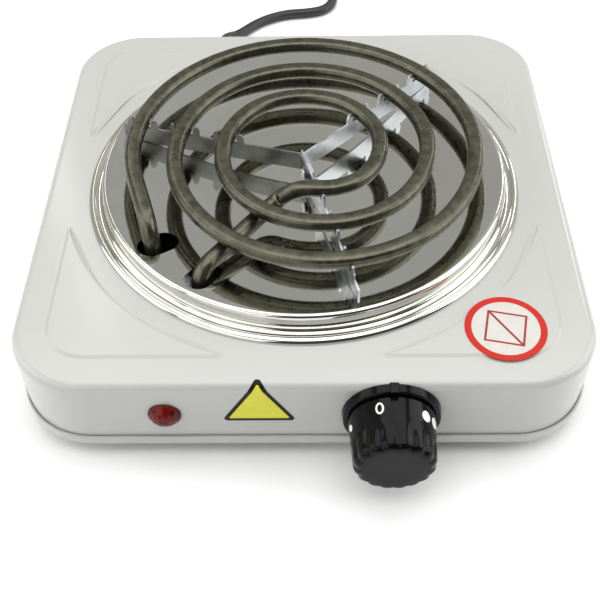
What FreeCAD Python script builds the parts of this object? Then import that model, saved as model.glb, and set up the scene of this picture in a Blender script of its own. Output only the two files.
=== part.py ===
import FreeCAD, Part
import math
import os
import re
import Sketcher
from FreeCAD import Placement, Rotation, Vector

# A single-coil electric hot plate: enamelled steel shell, polished raised pan,
# three-turn tubular heating element on a three-arm support, thermostat knob,
# indicator lamp and mains cord.
# Frame: millimetres, +Z up, front (knob side) towards -Y, feet standing on Z = 0.
# Every sub-part is drawn around the middle of the body and then moved back by the
# same amount, so that the whole object's bounding box is centred on the origin.

# ---------------------------------------------------------------- driving sizes
sizes = {
    # body
    "body_width": 230,
    "body_depth": 230,
    "body_height": 37,
    "corner_radius": 31,
    "edge_radius": 3.5,
    "shell_sheet": 0.8,
    "feet_height": 8,
    "rim_height": 5,
    "rim_gap": 0.3,
    "rim_sheet": 0.8,
    # raised corner fields of the top
    "field_margin": 13.5,
    "field_arc": 104,
    "field_height": 0.8,
    # pan
    "opening_radius": 87.5,
    "pan_radius": 95.6,
    "pan_bead": 3.4,
    "pan_wall_radius": 89.6,
    "pan_floor_radius": 86.8,
    "pan_rise": 9,
    "pan_centre_rise": 1.5,
    "pan_centre_flat": 4,
    "pan_flange_rise": 1.5,
    "pan_sheet": 0.5,
    # heating element
    "tube_diameter": 7.2,
    "tube_flat": 2.9,
    "coil_rise": 19,
    "coil_radius": 74.5,
    "coil_step": 10.3,
    "coil_x": 4.6,
    "coil_y": -1.2,
    "coil_angle": -35,
    "lead_radius": 79,
    "lead_angle": 228.5,
    "lead_spread": 10,
    "lead_drop": 7.4,
    "lead_bottom": -15,
    "lead_bend": 10,
    "slot_length": 18,
    "slot_width": 11.6,
    "terminal_size": 5,
    # support arms
    "arm_sheet": 0.9,
    "arm_angle": -75,
    "arm_reach": 84,
    "arm_bottom": 6.6,
    "arm_tab": 14,
    "rivet_radius": 1.5,
    "ear_width": 3.2,
    "ear_height": 4.6,
    # knob and thermostat
    "knob_x": 34,
    "knob_drop": 17.5,
    "knob_reach": 25,
    "knob_flutes": 16,
    "knob_radius": 17,
    "bezel_radius": 19.2,
    "bezel_depth": 3.5,
    "spindle_radius": 3,
    "spindle_gap": 0.05,
    "knob_gap": 0.4,
    "bush_radius": 5,
    "stack_offset": 18,
    "contact_gap": 1.2,
    # indicator lamp
    "lamp_x": -53.5,
    "lamp_drop": 17.5,
    "lamp_radius": 6.5,
    "lamp_stem": 4.4,
    "lamp_dome": 3.4,
    # labels
    "label_sheet": 0.15,
    "warning_x": 78.9,
    "warning_y": -88,
    "warning_radius": 16,
    "triangle_x": -17,
    "triangle_side": 27.6,
    "triangle_base": -21.3,
    # feet and posts
    "post_inset": 25,
    "post_radius": 4,
    "foot_radius": 9,
    "screw_radius": 1.75,
    # cord
    "cord_diameter": 5.5,
    "cord_x": -47,
    "cord_drop": 28,
    "relief_length": 22,
    "wire_diameter": 2.4,
    "hank_radius": 30,
    "hank_x": -25,
    "hank_y": 260,
    "tie_sheet": 0.6,
    "plug_radius": 13,
    "plug_length": 34,
}

doc = FreeCAD.newDocument("hot_plate")
sheet = doc.addObject("Spreadsheet::Sheet", "dims")
finished = []
depth_of = {}


def fill_sheet():
    for row, (alias, size) in enumerate(sizes.items(), start=1):
        sheet.set("A%d" % row, alias)
        sheet.set("B%d" % row, str(size))
        sheet.setAlias("B%d" % row, alias)
    doc.recompute()


def formula(text):
    # Adds the sheet's name in front of each alias.
    return re.sub(r"[a-z]+(?:_[a-z]+)+", lambda found: "dims." + found.group(0), str(text))


def number(text):
    # The present value of a formula, worked out by the document itself.
    return float(sheet.evalExpression(formula(text)))


def point(x, y, z):
    return Vector(number(x), number(y), number(z))


# Formulas that several sub-parts share.
top_z = "(feet_height + body_height)"
floor_z = "(feet_height + rim_sheet)"
front_y = "(-body_depth / 2)"
front_inside = "(-body_depth / 2 + shell_sheet)"
back_y = "(body_depth / 2)"
shift_y = "((knob_reach - rim_gap - rim_sheet) / 2)"
knob_z = "(feet_height + body_height - knob_drop)"
lamp_z = "(feet_height + body_height - lamp_drop)"
cord_z = "(feet_height + body_height - cord_drop)"
coil_z = "(feet_height + body_height + coil_rise)"
tube_radius = "(tube_diameter / 2)"


# ---------------------------------------------------------------- document helpers
def place(item, x=0, y=0, z=0, axis=None, angle=0):
    # Binds an object's place, and turns it about an axis through its own origin.
    turn = Rotation(axis, number(angle)) if axis else Rotation()
    item.Placement = Placement(point(x, y, z), turn)
    for letter, text in zip("xyz", (x, y, z)):
        item.setExpression(".Placement.Base." + letter, formula(text))
    depth_of[item.Name] = y
    return item


def primitive(kind, name, at=(0, 0, 0), axis=None, angle=0, **bound):
    item = doc.addObject("Part::" + kind, name)
    for key, text in bound.items():
        item.setExpression(key, formula(text))
    return place(item, at[0], at[1], at[2], axis, angle)


def rod(name, radius, length, at, along="z"):
    # A cylinder that starts at a point and runs along +X, +Y or +Z.
    axis = {"x": Vector(0, 1, 0), "y": Vector(-1, 0, 0), "z": None}[along]
    return primitive("Cylinder", name, at, axis, 90, Radius=radius, Height=length)


def block(name, size, at, axis=None, angle=0):
    return primitive("Box", name, at, axis, angle, Length=size[0], Width=size[1], Height=size[2])


def cut(name, base, tool):
    item = doc.addObject("Part::Cut", name)
    item.Base = base
    item.Tool = tool
    return item


def fuse(name, *shapes):
    item = doc.addObject("Part::MultiFuse", name)
    item.Shapes = list(shapes)
    return item


def group(name, members):
    # Several separate solids in one sub-part.
    item = doc.addObject("Part::Compound", name)
    item.Links = list(members)
    return item


def shape_part(name, shape):
    item = doc.addObject("Part::Feature", name)
    item.Shape = shape
    item.Placement = Placement()
    return item


def finish(item, label):
    # Names a sub-part and moves it to its place in the whole object.
    item.Label = label
    depth = "%s + %s" % (depth_of.get(item.Name, 0), shift_y)
    item.setExpression(".Placement.Base.y", formula(depth))
    finished.append(item)
    return item


# ---------------------------------------------------------------- sketch helpers
def new_body(name):
    return doc.addObject("PartDesign::Body", name)


def new_sketch(body, name, plane="XY_Plane", offset=0):
    sketch = body.newObject("Sketcher::SketchObject", name)
    support = [item for item in body.Origin.OriginFeatures if item.Role == plane][0]
    sketch.AttachmentSupport = (support, [""])
    sketch.MapMode = "FlatFace"
    sketch.setExpression(".AttachmentOffset.Base.z", formula(offset))
    doc.recompute()
    return sketch


def bind(sketch, constraint, text):
    # Adds a measured constraint and ties it to the sheet.
    index = sketch.addConstraint(constraint)
    sketch.renameConstraint(index, "size%d" % index)
    sketch.setExpression("Constraints.size%d" % index, formula(text))


def pin(sketch, shape, vertex, x, y):
    # Holds one vertex at a distance from the sketch's origin.
    for kind, text, axis_line in (("DistanceX", x, -2), ("DistanceY", y, -1)):
        amount = number(text)
        if abs(amount) < 1e-9:
            sketch.addConstraint(Sketcher.Constraint("PointOnObject", shape, vertex, axis_line))
        elif amount > 0:
            bind(sketch, Sketcher.Constraint(kind, -1, 1, shape, vertex, amount), text)
        else:
            negated = "-(%s)" % text
            bind(sketch, Sketcher.Constraint(kind, shape, vertex, -1, 1, -amount), negated)


def draw_circle(sketch, x, y, radius):
    centre = Vector(number(x), number(y), 0)
    shape = sketch.addGeometry(Part.Circle(centre, Vector(0, 0, 1), number(radius)), False)
    bind(sketch, Sketcher.Constraint("Radius", shape, number(radius)), radius)
    pin(sketch, shape, 3, x, y)


def arc_between(start, end, radius, bends_left):
    # The short arc from start to end, as a counter-clockwise arc of a circle.
    chord = end.sub(start)
    height = math.sqrt(max(radius ** 2 - (chord.Length / 2) ** 2, 0))
    side = Vector(-chord.y, chord.x, 0).normalize()
    centre = (start + end) * 0.5 + side * (height if bends_left else -height)
    first, last = (start, end) if bends_left else (end, start)
    angles = [math.atan2(p.y - centre.y, p.x - centre.x) for p in (first, last)]
    if angles[1] < angles[0]:
        angles[1] += 2 * math.pi
    return Part.ArcOfCircle(Part.Circle(centre, Vector(0, 0, 1), radius), angles[0], angles[1])


def draw_outline(sketch, points):
    # A closed outline. A point is (x, y), or (x, y, radius, side) when an arc leads to it,
    # where side is "left" for an arc that bends to the left on the way there.
    ends = [Vector(number(p[0]), number(p[1]), 0) for p in points]
    shapes = []
    for index, item in enumerate(points):
        start, end = ends[index - 1], ends[index]
        if len(item) == 2:
            shape = sketch.addGeometry(Part.LineSegment(start, end), False)
            shapes.append((shape, 1, 2))
        else:
            left = item[3] == "left"
            arc = arc_between(start, end, number(item[2]), left)
            shape = sketch.addGeometry(arc, False)
            bind(sketch, Sketcher.Constraint("Radius", shape, number(item[2])), item[2])
            shapes.append((shape, 1, 2) if left else (shape, 2, 1))
    for index, (shape, first, last) in enumerate(shapes):
        before, _, before_last = shapes[index - 1]
        sketch.addConstraint(Sketcher.Constraint("Coincident", before, before_last, shape, first))
        pin(sketch, shape, last, points[index][0], points[index][1])


def draw_round_rectangle(sketch, width, depth, radius):
    half_w, half_d, r = number(width) / 2, number(depth) / 2, number(radius)
    corners = [(half_w - r, -half_d + r), (half_w - r, half_d - r),
               (-half_w + r, half_d - r), (-half_w + r, -half_d + r)]
    sides = [(Vector(-half_w + r, -half_d, 0), Vector(half_w - r, -half_d, 0)),
             (Vector(half_w, -half_d + r, 0), Vector(half_w, half_d - r, 0)),
             (Vector(half_w - r, half_d, 0), Vector(-half_w + r, half_d, 0)),
             (Vector(-half_w, half_d - r, 0), Vector(-half_w, -half_d + r, 0))]
    first = sketch.GeometryCount
    for index, (corner, side) in enumerate(zip(corners, sides)):
        start = math.radians(-90 + 90 * index)
        circle = Part.Circle(Vector(corner[0], corner[1], 0), Vector(0, 0, 1), r)
        sketch.addGeometry(Part.LineSegment(side[0], side[1]), False)
        sketch.addGeometry(Part.ArcOfCircle(circle, start, start + math.pi / 2), False)
    for index in range(8):
        after = first + (index + 1) % 8
        sketch.addConstraint(Sketcher.Constraint("Tangent", first + index, 2, after, 1))
    for index, kind in ((0, "Horizontal"), (2, "Vertical"), (4, "Horizontal"), (6, "Vertical")):
        sketch.addConstraint(Sketcher.Constraint(kind, first + index))
    for index in (3, 5, 7):
        sketch.addConstraint(Sketcher.Constraint("Equal", first + 1, first + index))
    sketch.addConstraint(Sketcher.Constraint("Symmetric", first + 1, 3, first + 5, 3, -1, 1))
    bind(sketch, Sketcher.Constraint("Radius", first + 1, r), radius)
    bind(sketch, Sketcher.Constraint("DistanceX", first + 6, 1, first + 2, 1, 2 * half_w), width)
    bind(sketch, Sketcher.Constraint("DistanceY", first, 1, first + 4, 1, 2 * half_d), depth)


def feature(body, kind, name, sketch, **bound):
    item = body.newObject("PartDesign::" + kind, name)
    item.Profile = sketch
    for key, text in bound.items():
        item.setExpression(key, formula(text))
    return item


def pad(body, name, sketch, length, both_ways=False, backwards=False):
    item = feature(body, "Pad", name, sketch, Length=length)
    item.SideType = "Symmetric" if both_ways else "One side"
    item.Reversed = backwards
    doc.recompute()
    return item


def pocket(body, name, sketch, length, both_ways=False, backwards=False):
    # Fails loudly if the pocket points away from the solid.
    before = body.Shape.Volume
    item = feature(body, "Pocket", name, sketch, Length=length)
    item.SideType = "Symmetric" if both_ways else "One side"
    item.Reversed = backwards
    doc.recompute()
    if body.Shape.Volume >= before - 1e-6:
        raise RuntimeError(name + " removes nothing")
    return item


def revolve(body, name, sketch, axis="V_Axis"):
    item = feature(body, "Revolution", name, sketch)
    item.ReferenceAxis = (sketch, [axis])
    item.Angle = 360
    doc.recompute()
    return item


def polar(body, name, original, count, axis="Z_Axis"):
    item = body.newObject("PartDesign::PolarPattern", name)
    item.Originals = [original]
    line = [part for part in body.Origin.OriginFeatures if part.Role == axis][0]
    item.Axis = (line, [""])
    item.Angle = 360
    item.Occurrences = count
    body.Tip = item
    doc.recompute()
    return item


def edges_at(body, test):
    # Names of the edges whose centre of mass passes a test.
    names = []
    for index, edge in enumerate(body.Shape.Edges, start=1):
        if test(edge.CenterOfMass, edge):
            names.append("Edge%d" % index)
    return names


def fillet(body, name, test, radius):
    base = body.Tip
    item = body.newObject("PartDesign::Fillet", name)
    item.Base = (base, edges_at(body, test))
    item.setExpression("Radius", formula(radius))
    doc.recompute()
    return item


def hollow(body, name, test):
    # Leaves a skin of the sheet's thickness, open where a face passes the test.
    base = body.Tip
    faces = ["Face%d" % i for i, face in enumerate(body.Shape.Faces, start=1) if test(face)]
    item = body.newObject("PartDesign::Thickness", name)
    item.Base = (base, faces)
    item.setExpression("Value", formula("shell_sheet"))
    item.Reversed = True
    doc.recompute()
    return item


# ---------------------------------------------------------------- paths
def rounded_path(points, radii):
    # Straight runs joined by tangent arcs, one radius for each inner point.
    edges = []
    here = points[0]
    for before, corner, after, radius in zip(points, points[1:], points[2:], radii):
        to_corner = corner.sub(before).normalize()
        from_corner = after.sub(corner).normalize()
        turn = to_corner.getAngle(from_corner)
        trim = radius * math.tan(turn / 2)
        arc_start = corner - to_corner * trim
        arc_end = corner + from_corner * trim
        bisector = (from_corner - to_corner).normalize()
        middle = corner + bisector * (radius / math.cos(turn / 2) - radius)
        edges.append(Part.LineSegment(here, arc_start).toShape())
        edges.append(Part.Arc(arc_start, middle, arc_end).toShape())
        here = arc_end
    edges.append(Part.LineSegment(here, points[-1]).toShape())
    return edges


def widest_radii(points, share=0.45):
    # The largest arc that each corner's two runs allow.
    radii = []
    for before, corner, after in zip(points, points[1:], points[2:]):
        run_in, run_out = corner.sub(before), after.sub(corner)
        turn = run_in.getAngle(run_out)
        radii.append(share * min(run_in.Length, run_out.Length) / math.tan(turn / 2))
    return radii


def tube_along(edges, radius):
    # A round tube along a path of lines and arcs, checked against its length.
    wire = Part.Wire(edges)
    start = edges[0].Vertexes[0].Point
    heading = edges[0].tangentAt(edges[0].FirstParameter)
    ring = Part.Wire(Part.makeCircle(radius, start, heading))
    solid = wire.makePipeShell([ring], True, False)
    expected = math.pi * radius ** 2 * wire.Length
    if not solid.isValid() or abs(solid.Volume / expected - 1) > 0.01:
        raise RuntimeError("a tube's volume differs from its section times its length")
    return solid


# ---------------------------------------------------------------- housing
def make_top_shell():
    body = new_body("Shell")
    outline = new_sketch(body, "ShellOutline", offset=floor_z)
    draw_round_rectangle(outline, "body_width", "body_depth", "corner_radius")
    pad(body, "ShellBlock", outline, top_z + " - " + floor_z)
    top = number(top_z)
    fillet(body, "ShellEdge", lambda middle, edge: middle.z > top - 0.01, "edge_radius")
    hollow(body, "ShellHollow", lambda face: face.CenterOfMass.z < number(floor_z) + 0.01)
    opening = new_sketch(body, "PanOpening", offset=top_z)
    draw_circle(opening, 0, 0, "opening_radius")
    pocket(body, "PanHole", opening, "3 * shell_sheet")
    add_corner_fields(body)
    add_shell_holes(body)
    return finish(body, "top_shell")


def add_corner_fields(body):
    # A raised field in each corner, between the pan and the sides, with sloped edges.
    sketch = new_sketch(body, "CornerFields", offset=top_z + " - 0.01")
    side_x = "(body_width / 2 - field_margin)"
    side_y = "(body_depth / 2 - field_margin)"
    tip_along = "(field_arc * sin(16))"
    tip_across = "(field_arc * cos(16))"
    corner = "(corner_radius - field_margin)"
    for x_sign in (1, -1):
        for y_sign in (1, -1):
            turns = "left" if x_sign * y_sign > 0 else "right"
            back = "right" if turns == "left" else "left"
            draw_outline(sketch, [
                scaled(tip_across, tip_along, x_sign, y_sign) + ("field_arc", back),
                scaled(side_x, tip_along + " + 2.6", x_sign, y_sign),
                scaled(side_x, side_y + " - " + corner, x_sign, y_sign),
                scaled(side_x + " - " + corner, side_y, x_sign, y_sign) + (corner, turns),
                scaled(tip_along + " + 2.6", side_y, x_sign, y_sign),
                scaled(tip_along, tip_across, x_sign, y_sign),
            ])
    raised = pad(body, "CornerFieldsPad", sketch, "field_height + 0.01")
    raised.TaperAngle = -60
    doc.recompute()


def scaled(x, y, x_sign, y_sign):
    return ("%d * (%s)" % (x_sign, x), "%d * (%s)" % (y_sign, y))


def add_shell_holes(body):
    front = new_sketch(body, "FrontHoles", "XZ_Plane", "body_depth / 2 + 1")
    draw_circle(front, "knob_x", knob_z, "bush_radius")
    draw_circle(front, "lamp_x", lamp_z, "lamp_stem + 0.1")
    for x, z in mount_places():
        draw_circle(front, x, z, "screw_radius")
    pocket(body, "FrontCuts", front, "shell_sheet + 3")
    back = new_sketch(body, "BackHoles", "XZ_Plane", "-body_depth / 2 - 1")
    draw_circle(back, "cord_x", cord_z, "cord_diameter")
    pocket(body, "BackCuts", back, "shell_sheet + 3", backwards=True)


def make_base_pan():
    body = new_body("Base")
    outside = new_sketch(body, "BaseOutline", offset="feet_height")
    spread = " + 2 * rim_gap + 2 * rim_sheet"
    draw_round_rectangle(outside, "body_width" + spread, "body_depth" + spread,
                         "corner_radius + rim_gap + rim_sheet")
    pad(body, "BaseBlock", outside, "rim_height")
    low = number("feet_height")
    fillet(body, "BaseEdge", lambda middle, edge: middle.z < low + 0.01, "1.2 * rim_sheet")
    inside = new_sketch(body, "BaseInside", offset="feet_height + rim_height")
    draw_round_rectangle(inside, "body_width + 2 * rim_gap", "body_depth + 2 * rim_gap",
                         "corner_radius + rim_gap")
    pocket(body, "BaseHollow", inside, "rim_height - rim_sheet")
    holes = new_sketch(body, "BaseHoles", offset="feet_height + rim_height")
    for x, y in post_places():
        draw_circle(holes, x, y, "screw_radius")
    for step in range(-3, 4):
        for row in (-1, 1):
            draw_slot(holes, "%d * 12" % step, "%d * 30" % row, 4, 26)
    for place_x in ("cord_x - 8", "cord_x + 8"):
        draw_circle(holes, place_x, "body_depth / 2 - 17", "screw_radius")
    draw_circle(holes, "cord_x + 40", "body_depth / 2 - 25", "screw_radius")
    pocket(body, "BaseCuts", holes, "2 * rim_height")
    tool = fuse("BracketHoles", *bracket_screw_rods("BracketHole", "3 * rim_sheet"))
    return finish(cut("BaseDrilled", body, tool), "base_pan")


def draw_slot(sketch, x, y, width, length):
    # A vent slot with square ends.
    draw_outline(sketch, [("%s - %s / 2" % (x, width), "%s - %s / 2" % (y, length)),
                          ("%s + %s / 2" % (x, width), "%s - %s / 2" % (y, length)),
                          ("%s + %s / 2" % (x, width), "%s + %s / 2" % (y, length)),
                          ("%s - %s / 2" % (x, width), "%s + %s / 2" % (y, length))])


def post_places():
    across = "(body_width / 2 - post_inset)"
    along = "(body_depth / 2 - post_inset)"
    return [("%d * %s" % (i, across), "%d * %s" % (j, along)) for i in (-1, 1) for j in (-1, 1)]


def make_posts_feet_and_screws():
    posts, feet, screws = [], [], []
    height = top_z + " - shell_sheet - " + floor_z
    for index, (x, y) in enumerate(post_places()):
        tag = str(index)
        post = rod("Post" + tag, "post_radius", height, (x, y, floor_z))
        hole = rod("PostHole" + tag, "screw_radius", "9", (x, y, floor_z))
        posts.append(cut("DrilledPost" + tag, post, hole))
        foot = primitive("Cone", "Foot" + tag, (x, y, 0), Radius1="foot_radius - 1",
                         Radius2="foot_radius", Height="feet_height")
        recess = rod("FootRecess" + tag, "4.2", "feet_height - 3", (x, y, 0))
        hole = rod("FootHole" + tag, "screw_radius", "feet_height", (x, y, 0))
        feet.append(cut("DrilledFoot" + tag, foot, fuse("FootCuts" + tag, recess, hole)))
        head = rod("ScrewHead" + tag, "3.5", "2.2", (x, y, "feet_height - 5.2"))
        shank = rod("ScrewShank" + tag, "screw_radius", "3 + rim_sheet + 8",
                    (x, y, "feet_height - 3"))
        slot = block("ScrewSlot" + tag, ("5", "0.8", "0.9"),
                     ("%s - 2.5" % x, "%s - 0.4" % y, "feet_height - 5.2"))
        screws.append(cut("FootScrew" + tag, fuse("ScrewBlank" + tag, head, shank), slot))
    finish(group("Posts", posts), "corner_posts")
    finish(group("Feet", feet), "rubber_feet")
    finish(group("FootScrews", screws), "foot_screws")


# ---------------------------------------------------------------- pan
# The floor is part of a ball, lowest in the middle, where a small disc of it is flat.
pan_sag = "(pan_rise - pan_centre_rise)"
pan_ball = "((pan_floor_radius ^ 2 + %s ^ 2) / (2 * %s))" % (pan_sag, pan_sag)


def pan_surface(radius):
    # Height of the floor's upper side above the top of the body.
    return "(pan_centre_rise + %s - sqrt(%s ^ 2 - (%s) ^ 2))" % (pan_ball, pan_ball, radius)


def make_drip_pan():
    body = new_body("Pan")
    sketch = new_sketch(body, "PanProfile", "XZ_Plane")
    t = "pan_sheet"
    centre = pan_surface("pan_centre_flat")
    wall_top = "(pan_wall_radius - 0.9)"
    bead_in = "(pan_radius - pan_bead)"
    outline = [
        ("0", centre),
        ("pan_centre_flat", centre),
        ("pan_floor_radius", "pan_rise", pan_ball, "left"),
        (wall_top, "pan_rise - 1", "1.6", "right"),
        ("pan_wall_radius", "pan_flange_rise + 1"),
        ("pan_wall_radius + 1.1", "pan_flange_rise", "1.2", "left"),
        (bead_in, "pan_flange_rise"),
        ("pan_radius", "0.6", "2.1", "right"),
        ("pan_radius", "0"),
        ("pan_radius - " + t, "0"),
        ("pan_radius - " + t, "0.5"),
        (bead_in + " + 0.2", "pan_flange_rise - " + t, "1.6", "left"),
        ("pan_wall_radius + 1", "pan_flange_rise - " + t),
        ("pan_wall_radius - " + t, "pan_flange_rise + 0.9", "1.7", "right"),
        (wall_top + " - " + t, "pan_rise - 1.1"),
        ("pan_floor_radius", "pan_rise - " + t, "1.1", "left"),
        ("pan_centre_flat", centre + " - " + t, pan_ball, "right"),
        ("0", centre + " - " + t),
    ]
    draw_outline(sketch, [(p[0], p[1] + " + " + top_z) + tuple(p[2:]) for p in outline])
    revolve(body, "PanSheet", sketch)
    add_pan_tabs(body)
    slots = fuse("LeadSlots", *(lead_slot(sign) for sign in (-1, 1)))
    return finish(cut("SlottedPan", body, slots), "drip_pan")


def add_pan_tabs(body):
    # Four tabs hang from the pan and are bent out under the edge of the shell's opening.
    sketch = new_sketch(body, "TabProfile", "XZ_Plane")
    under = top_z + " - shell_sheet"
    outer = "(opening_radius - 0.2)"
    draw_outline(sketch, [
        (outer + " - 0.8", under + " - 0.6"),
        (outer + " + 3", under + " - 0.6"),
        (outer + " + 3", under),
        (outer, under),
        (outer, top_z + " + pan_rise - 1.2"),
        (outer + " - 0.8", top_z + " + pan_rise - 0.5 * pan_sheet - 0.1"),
    ])
    tab = pad(body, "Tab", sketch, "8", both_ways=True)
    polar(body, "Tabs", tab, 4)


def lead_turn(sign):
    return "lead_angle + %d * lead_spread" % sign


def turned(name, item, angle):
    # Turns a finished shape about the vertical through the middle of the body.
    holder = group(name, [item])
    return place(holder, 0, 0, 0, Vector(0, 0, 1), angle)


def lead_slot(sign):
    tag = "A" if sign < 0 else "B"
    low = top_z + " - 5"
    middle = "(lead_radius - 2.5)"
    half = "(slot_length / 2 - slot_width / 2)"
    box = block("SlotBox" + tag, ("2 * " + half, "slot_width", "30"),
                (middle + " - " + half, "-slot_width / 2", low))
    ends = [rod("SlotEnd%s%d" % (tag, end), "slot_width / 2", "30",
                ("%s + %d * %s" % (middle, end, half), 0, low)) for end in (0, 1)]
    ends[0].setExpression(".Placement.Base.x", formula(middle + " - " + half))
    return turned("Slot" + tag, fuse("SlotShape" + tag, box, *ends), lead_turn(sign))


# ---------------------------------------------------------------- heating element
def spiral_centres():
    # The turns are half circles about two centres, so each half turn is smaller than the last.
    middle = Vector(number("coil_x"), number("coil_y"), 0)
    angle = math.radians(number("coil_angle"))
    half_step = Vector(math.cos(angle), math.sin(angle), 0) * (number("coil_step") / 2)
    return middle - half_step, middle + half_step


def spiral_arc(index):
    centre = spiral_centres()[index % 2]
    return centre, number("coil_radius") - index * number("coil_step")


def lead_place(sign):
    angle = math.radians(number(lead_turn(sign)))
    radius = number("lead_radius")
    return Vector(radius * math.cos(angle), radius * math.sin(angle), 0)


def on_circle(centre, radius, degrees, height):
    angle = math.radians(degrees)
    return Vector(centre.x + radius * math.cos(angle), centre.y + radius * math.sin(angle), height)


HALF_TURNS = 6
INNER_END = 57


def coil_edges():
    height = number(coil_z)
    junction = number("coil_angle")
    centre, radius = spiral_arc(0)
    outer_lead, inner_lead = lead_place(-1), lead_place(1)
    reach = outer_lead - centre
    start = math.degrees(math.atan2(reach.y, reach.x)) % 360
    start -= math.degrees(math.acos(radius / reach.Length))
    low = number(top_z + " + lead_bottom")
    arc_start = on_circle(centre, radius, start, height)
    bend = number("lead_bend")
    edges = rounded_path([Vector(outer_lead.x, outer_lead.y, low),
                          Vector(outer_lead.x, outer_lead.y, height), arc_start], [bend])
    end_angle = junction
    for index in range(HALF_TURNS):
        centre, radius = spiral_arc(index)
        end_angle = junction - 180 * index
        if index == HALF_TURNS - 1:
            end_angle = start - INNER_END
        ends = [on_circle(centre, radius, angle, height)
                for angle in (start, (start + end_angle) / 2, end_angle)]
        edges.append(Part.Arc(*ends).toShape())
        start = end_angle
    heading = Vector(math.sin(math.radians(end_angle)), -math.cos(math.radians(end_angle)), 0)
    run_z = height - number("lead_drop")
    inner_run = [ends[-1], ends[-1] + heading * 12, Vector(-15, -31.5, run_z),
                 Vector(inner_lead.x, inner_lead.y, run_z), Vector(inner_lead.x, inner_lead.y, low)]
    return edges + rounded_path(inner_run, [22, 16, 8])


def make_heating_coil():
    # The tube's upper side is pressed flat where the pot stands on it.
    tube = tube_along(coil_edges(), number(tube_radius))
    above = Part.makeBox(300, 300, 20, point(-150, -150, coil_z + " + tube_flat"))
    return finish(shape_part("Coil", tube.cut(above)), "heating_coil")


def make_lead_ends():
    beads, pins, blocks = [], [], []
    for sign in (-1, 1):
        tag = "A" if sign < 0 else "B"
        angle = "(%s)" % lead_turn(sign)
        at = ("lead_radius * cos(%s)" % angle, "lead_radius * sin(%s)" % angle)
        low = top_z + " + lead_bottom"
        beads.append(rod("Bead" + tag, tube_radius + " + 0.6", 4, (at[0], at[1], low + " - 4")))
        pins.append(rod("Pin" + tag, 1.2, 7, (at[0], at[1], low + " - 11")))
        clamp = block("Clamp" + tag, ("terminal_size", "terminal_size", 6),
                      ("%s - terminal_size / 2" % at[0], "%s - terminal_size / 2" % at[1],
                       low + " - 10"))
        bore = rod("ClampBore" + tag, 1.2, 10, (at[0], at[1], low + " - 12"))
        blocks.append(cut("Terminal" + tag, clamp, bore))
    finish(group("Beads", beads), "lead_beads")
    finish(group("Pins", pins), "lead_pins")
    finish(group("Terminals", blocks), "lead_terminals")


# ---------------------------------------------------------------- support arms
def arm_line(angle, offset):
    # An arm's direction, and the point of its middle line that is nearest the centre.
    along = Vector(math.cos(math.radians(angle)), math.sin(math.radians(angle)), 0)
    return along, Vector(-along.y, along.x, 0) * offset


def arm_crossings(angle, offset, half_turns):
    # Distances along an arm at which it meets the tube's centre line.
    line, start = arm_line(angle, offset)
    found = []
    for index in half_turns:
        centre, radius = spiral_arc(index)
        to_centre = centre - start
        along = line.dot(to_centre)
        found.append(along + math.sqrt(radius ** 2 - to_centre.Length ** 2 + along ** 2))
    return found


def arm_blade(name, angle, half_turns, start, offset="0"):
    # A strip on edge, cut from sheet, with a foot at its outer end and an ear on each
    # side of each turn of the tube that it carries.
    body = new_body(name)
    sketch = new_sketch(body, name + "Outline", "XZ_Plane")
    low = top_z + " + arm_bottom"
    top = coil_z + " - " + tube_radius
    foot = top_z + " + " + pan_surface("arm_reach")
    draw_outline(sketch, [(start, low), ("arm_reach - 18", low), ("arm_reach", foot),
                          ("arm_reach", top), (start, top)])
    pad(body, name + "Strip", sketch, "arm_sheet", both_ways=True)
    ears = new_sketch(body, name + "Ears", "XZ_Plane")
    turn = "(arm_angle + %d)" % angle
    for crossing in arm_crossings(number(turn), number(offset), half_turns):
        for side in (-1, 1):
            middle = "%.2f + %d * (%s + ear_width / 2 + 0.3)" % (crossing, side, tube_radius)
            draw_outline(ears, [
                (middle + " - ear_width / 2", top + " - 1"),
                (middle + " + ear_width / 2", top + " - 1"),
                (middle + " + ear_width / 2", top + " + ear_height - 2"),
                (middle + " + ear_width / 5", top + " + ear_height"),
                (middle + " - ear_width / 5", top + " + ear_height"),
                (middle + " - ear_width / 2", top + " + ear_height - 2"),
            ])
    pad(body, name + "EarPad", ears, "arm_sheet", both_ways=True)
    side_x, side_y = "-(%s) * sin(%s)" % (offset, turn), "(%s) * cos(%s)" % (offset, turn)
    return place(body, side_x, side_y, 0, Vector(0, 0, 1), turn)


def hub_point(along, across):
    # A point given along the front arm and across it.
    return ("%s * cos(arm_angle) - (%s) * sin(arm_angle)" % (along, across),
            "%s * sin(arm_angle) + (%s) * cos(arm_angle)" % (along, across))


def hub_rod(name, radius, length, across):
    x, y = hub_point("(arm_tab - 5)", across)
    middle = top_z + " + (arm_bottom + coil_rise - %s) / 2" % tube_radius
    item = rod(name, radius, length, (x, y, middle), "y")
    item.Placement = Placement(point(x, y, middle), Rotation(Vector(0, 0, 1), number("arm_angle"))
                               * Rotation(Vector(-1, 0, 0), 90))
    return item


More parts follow.
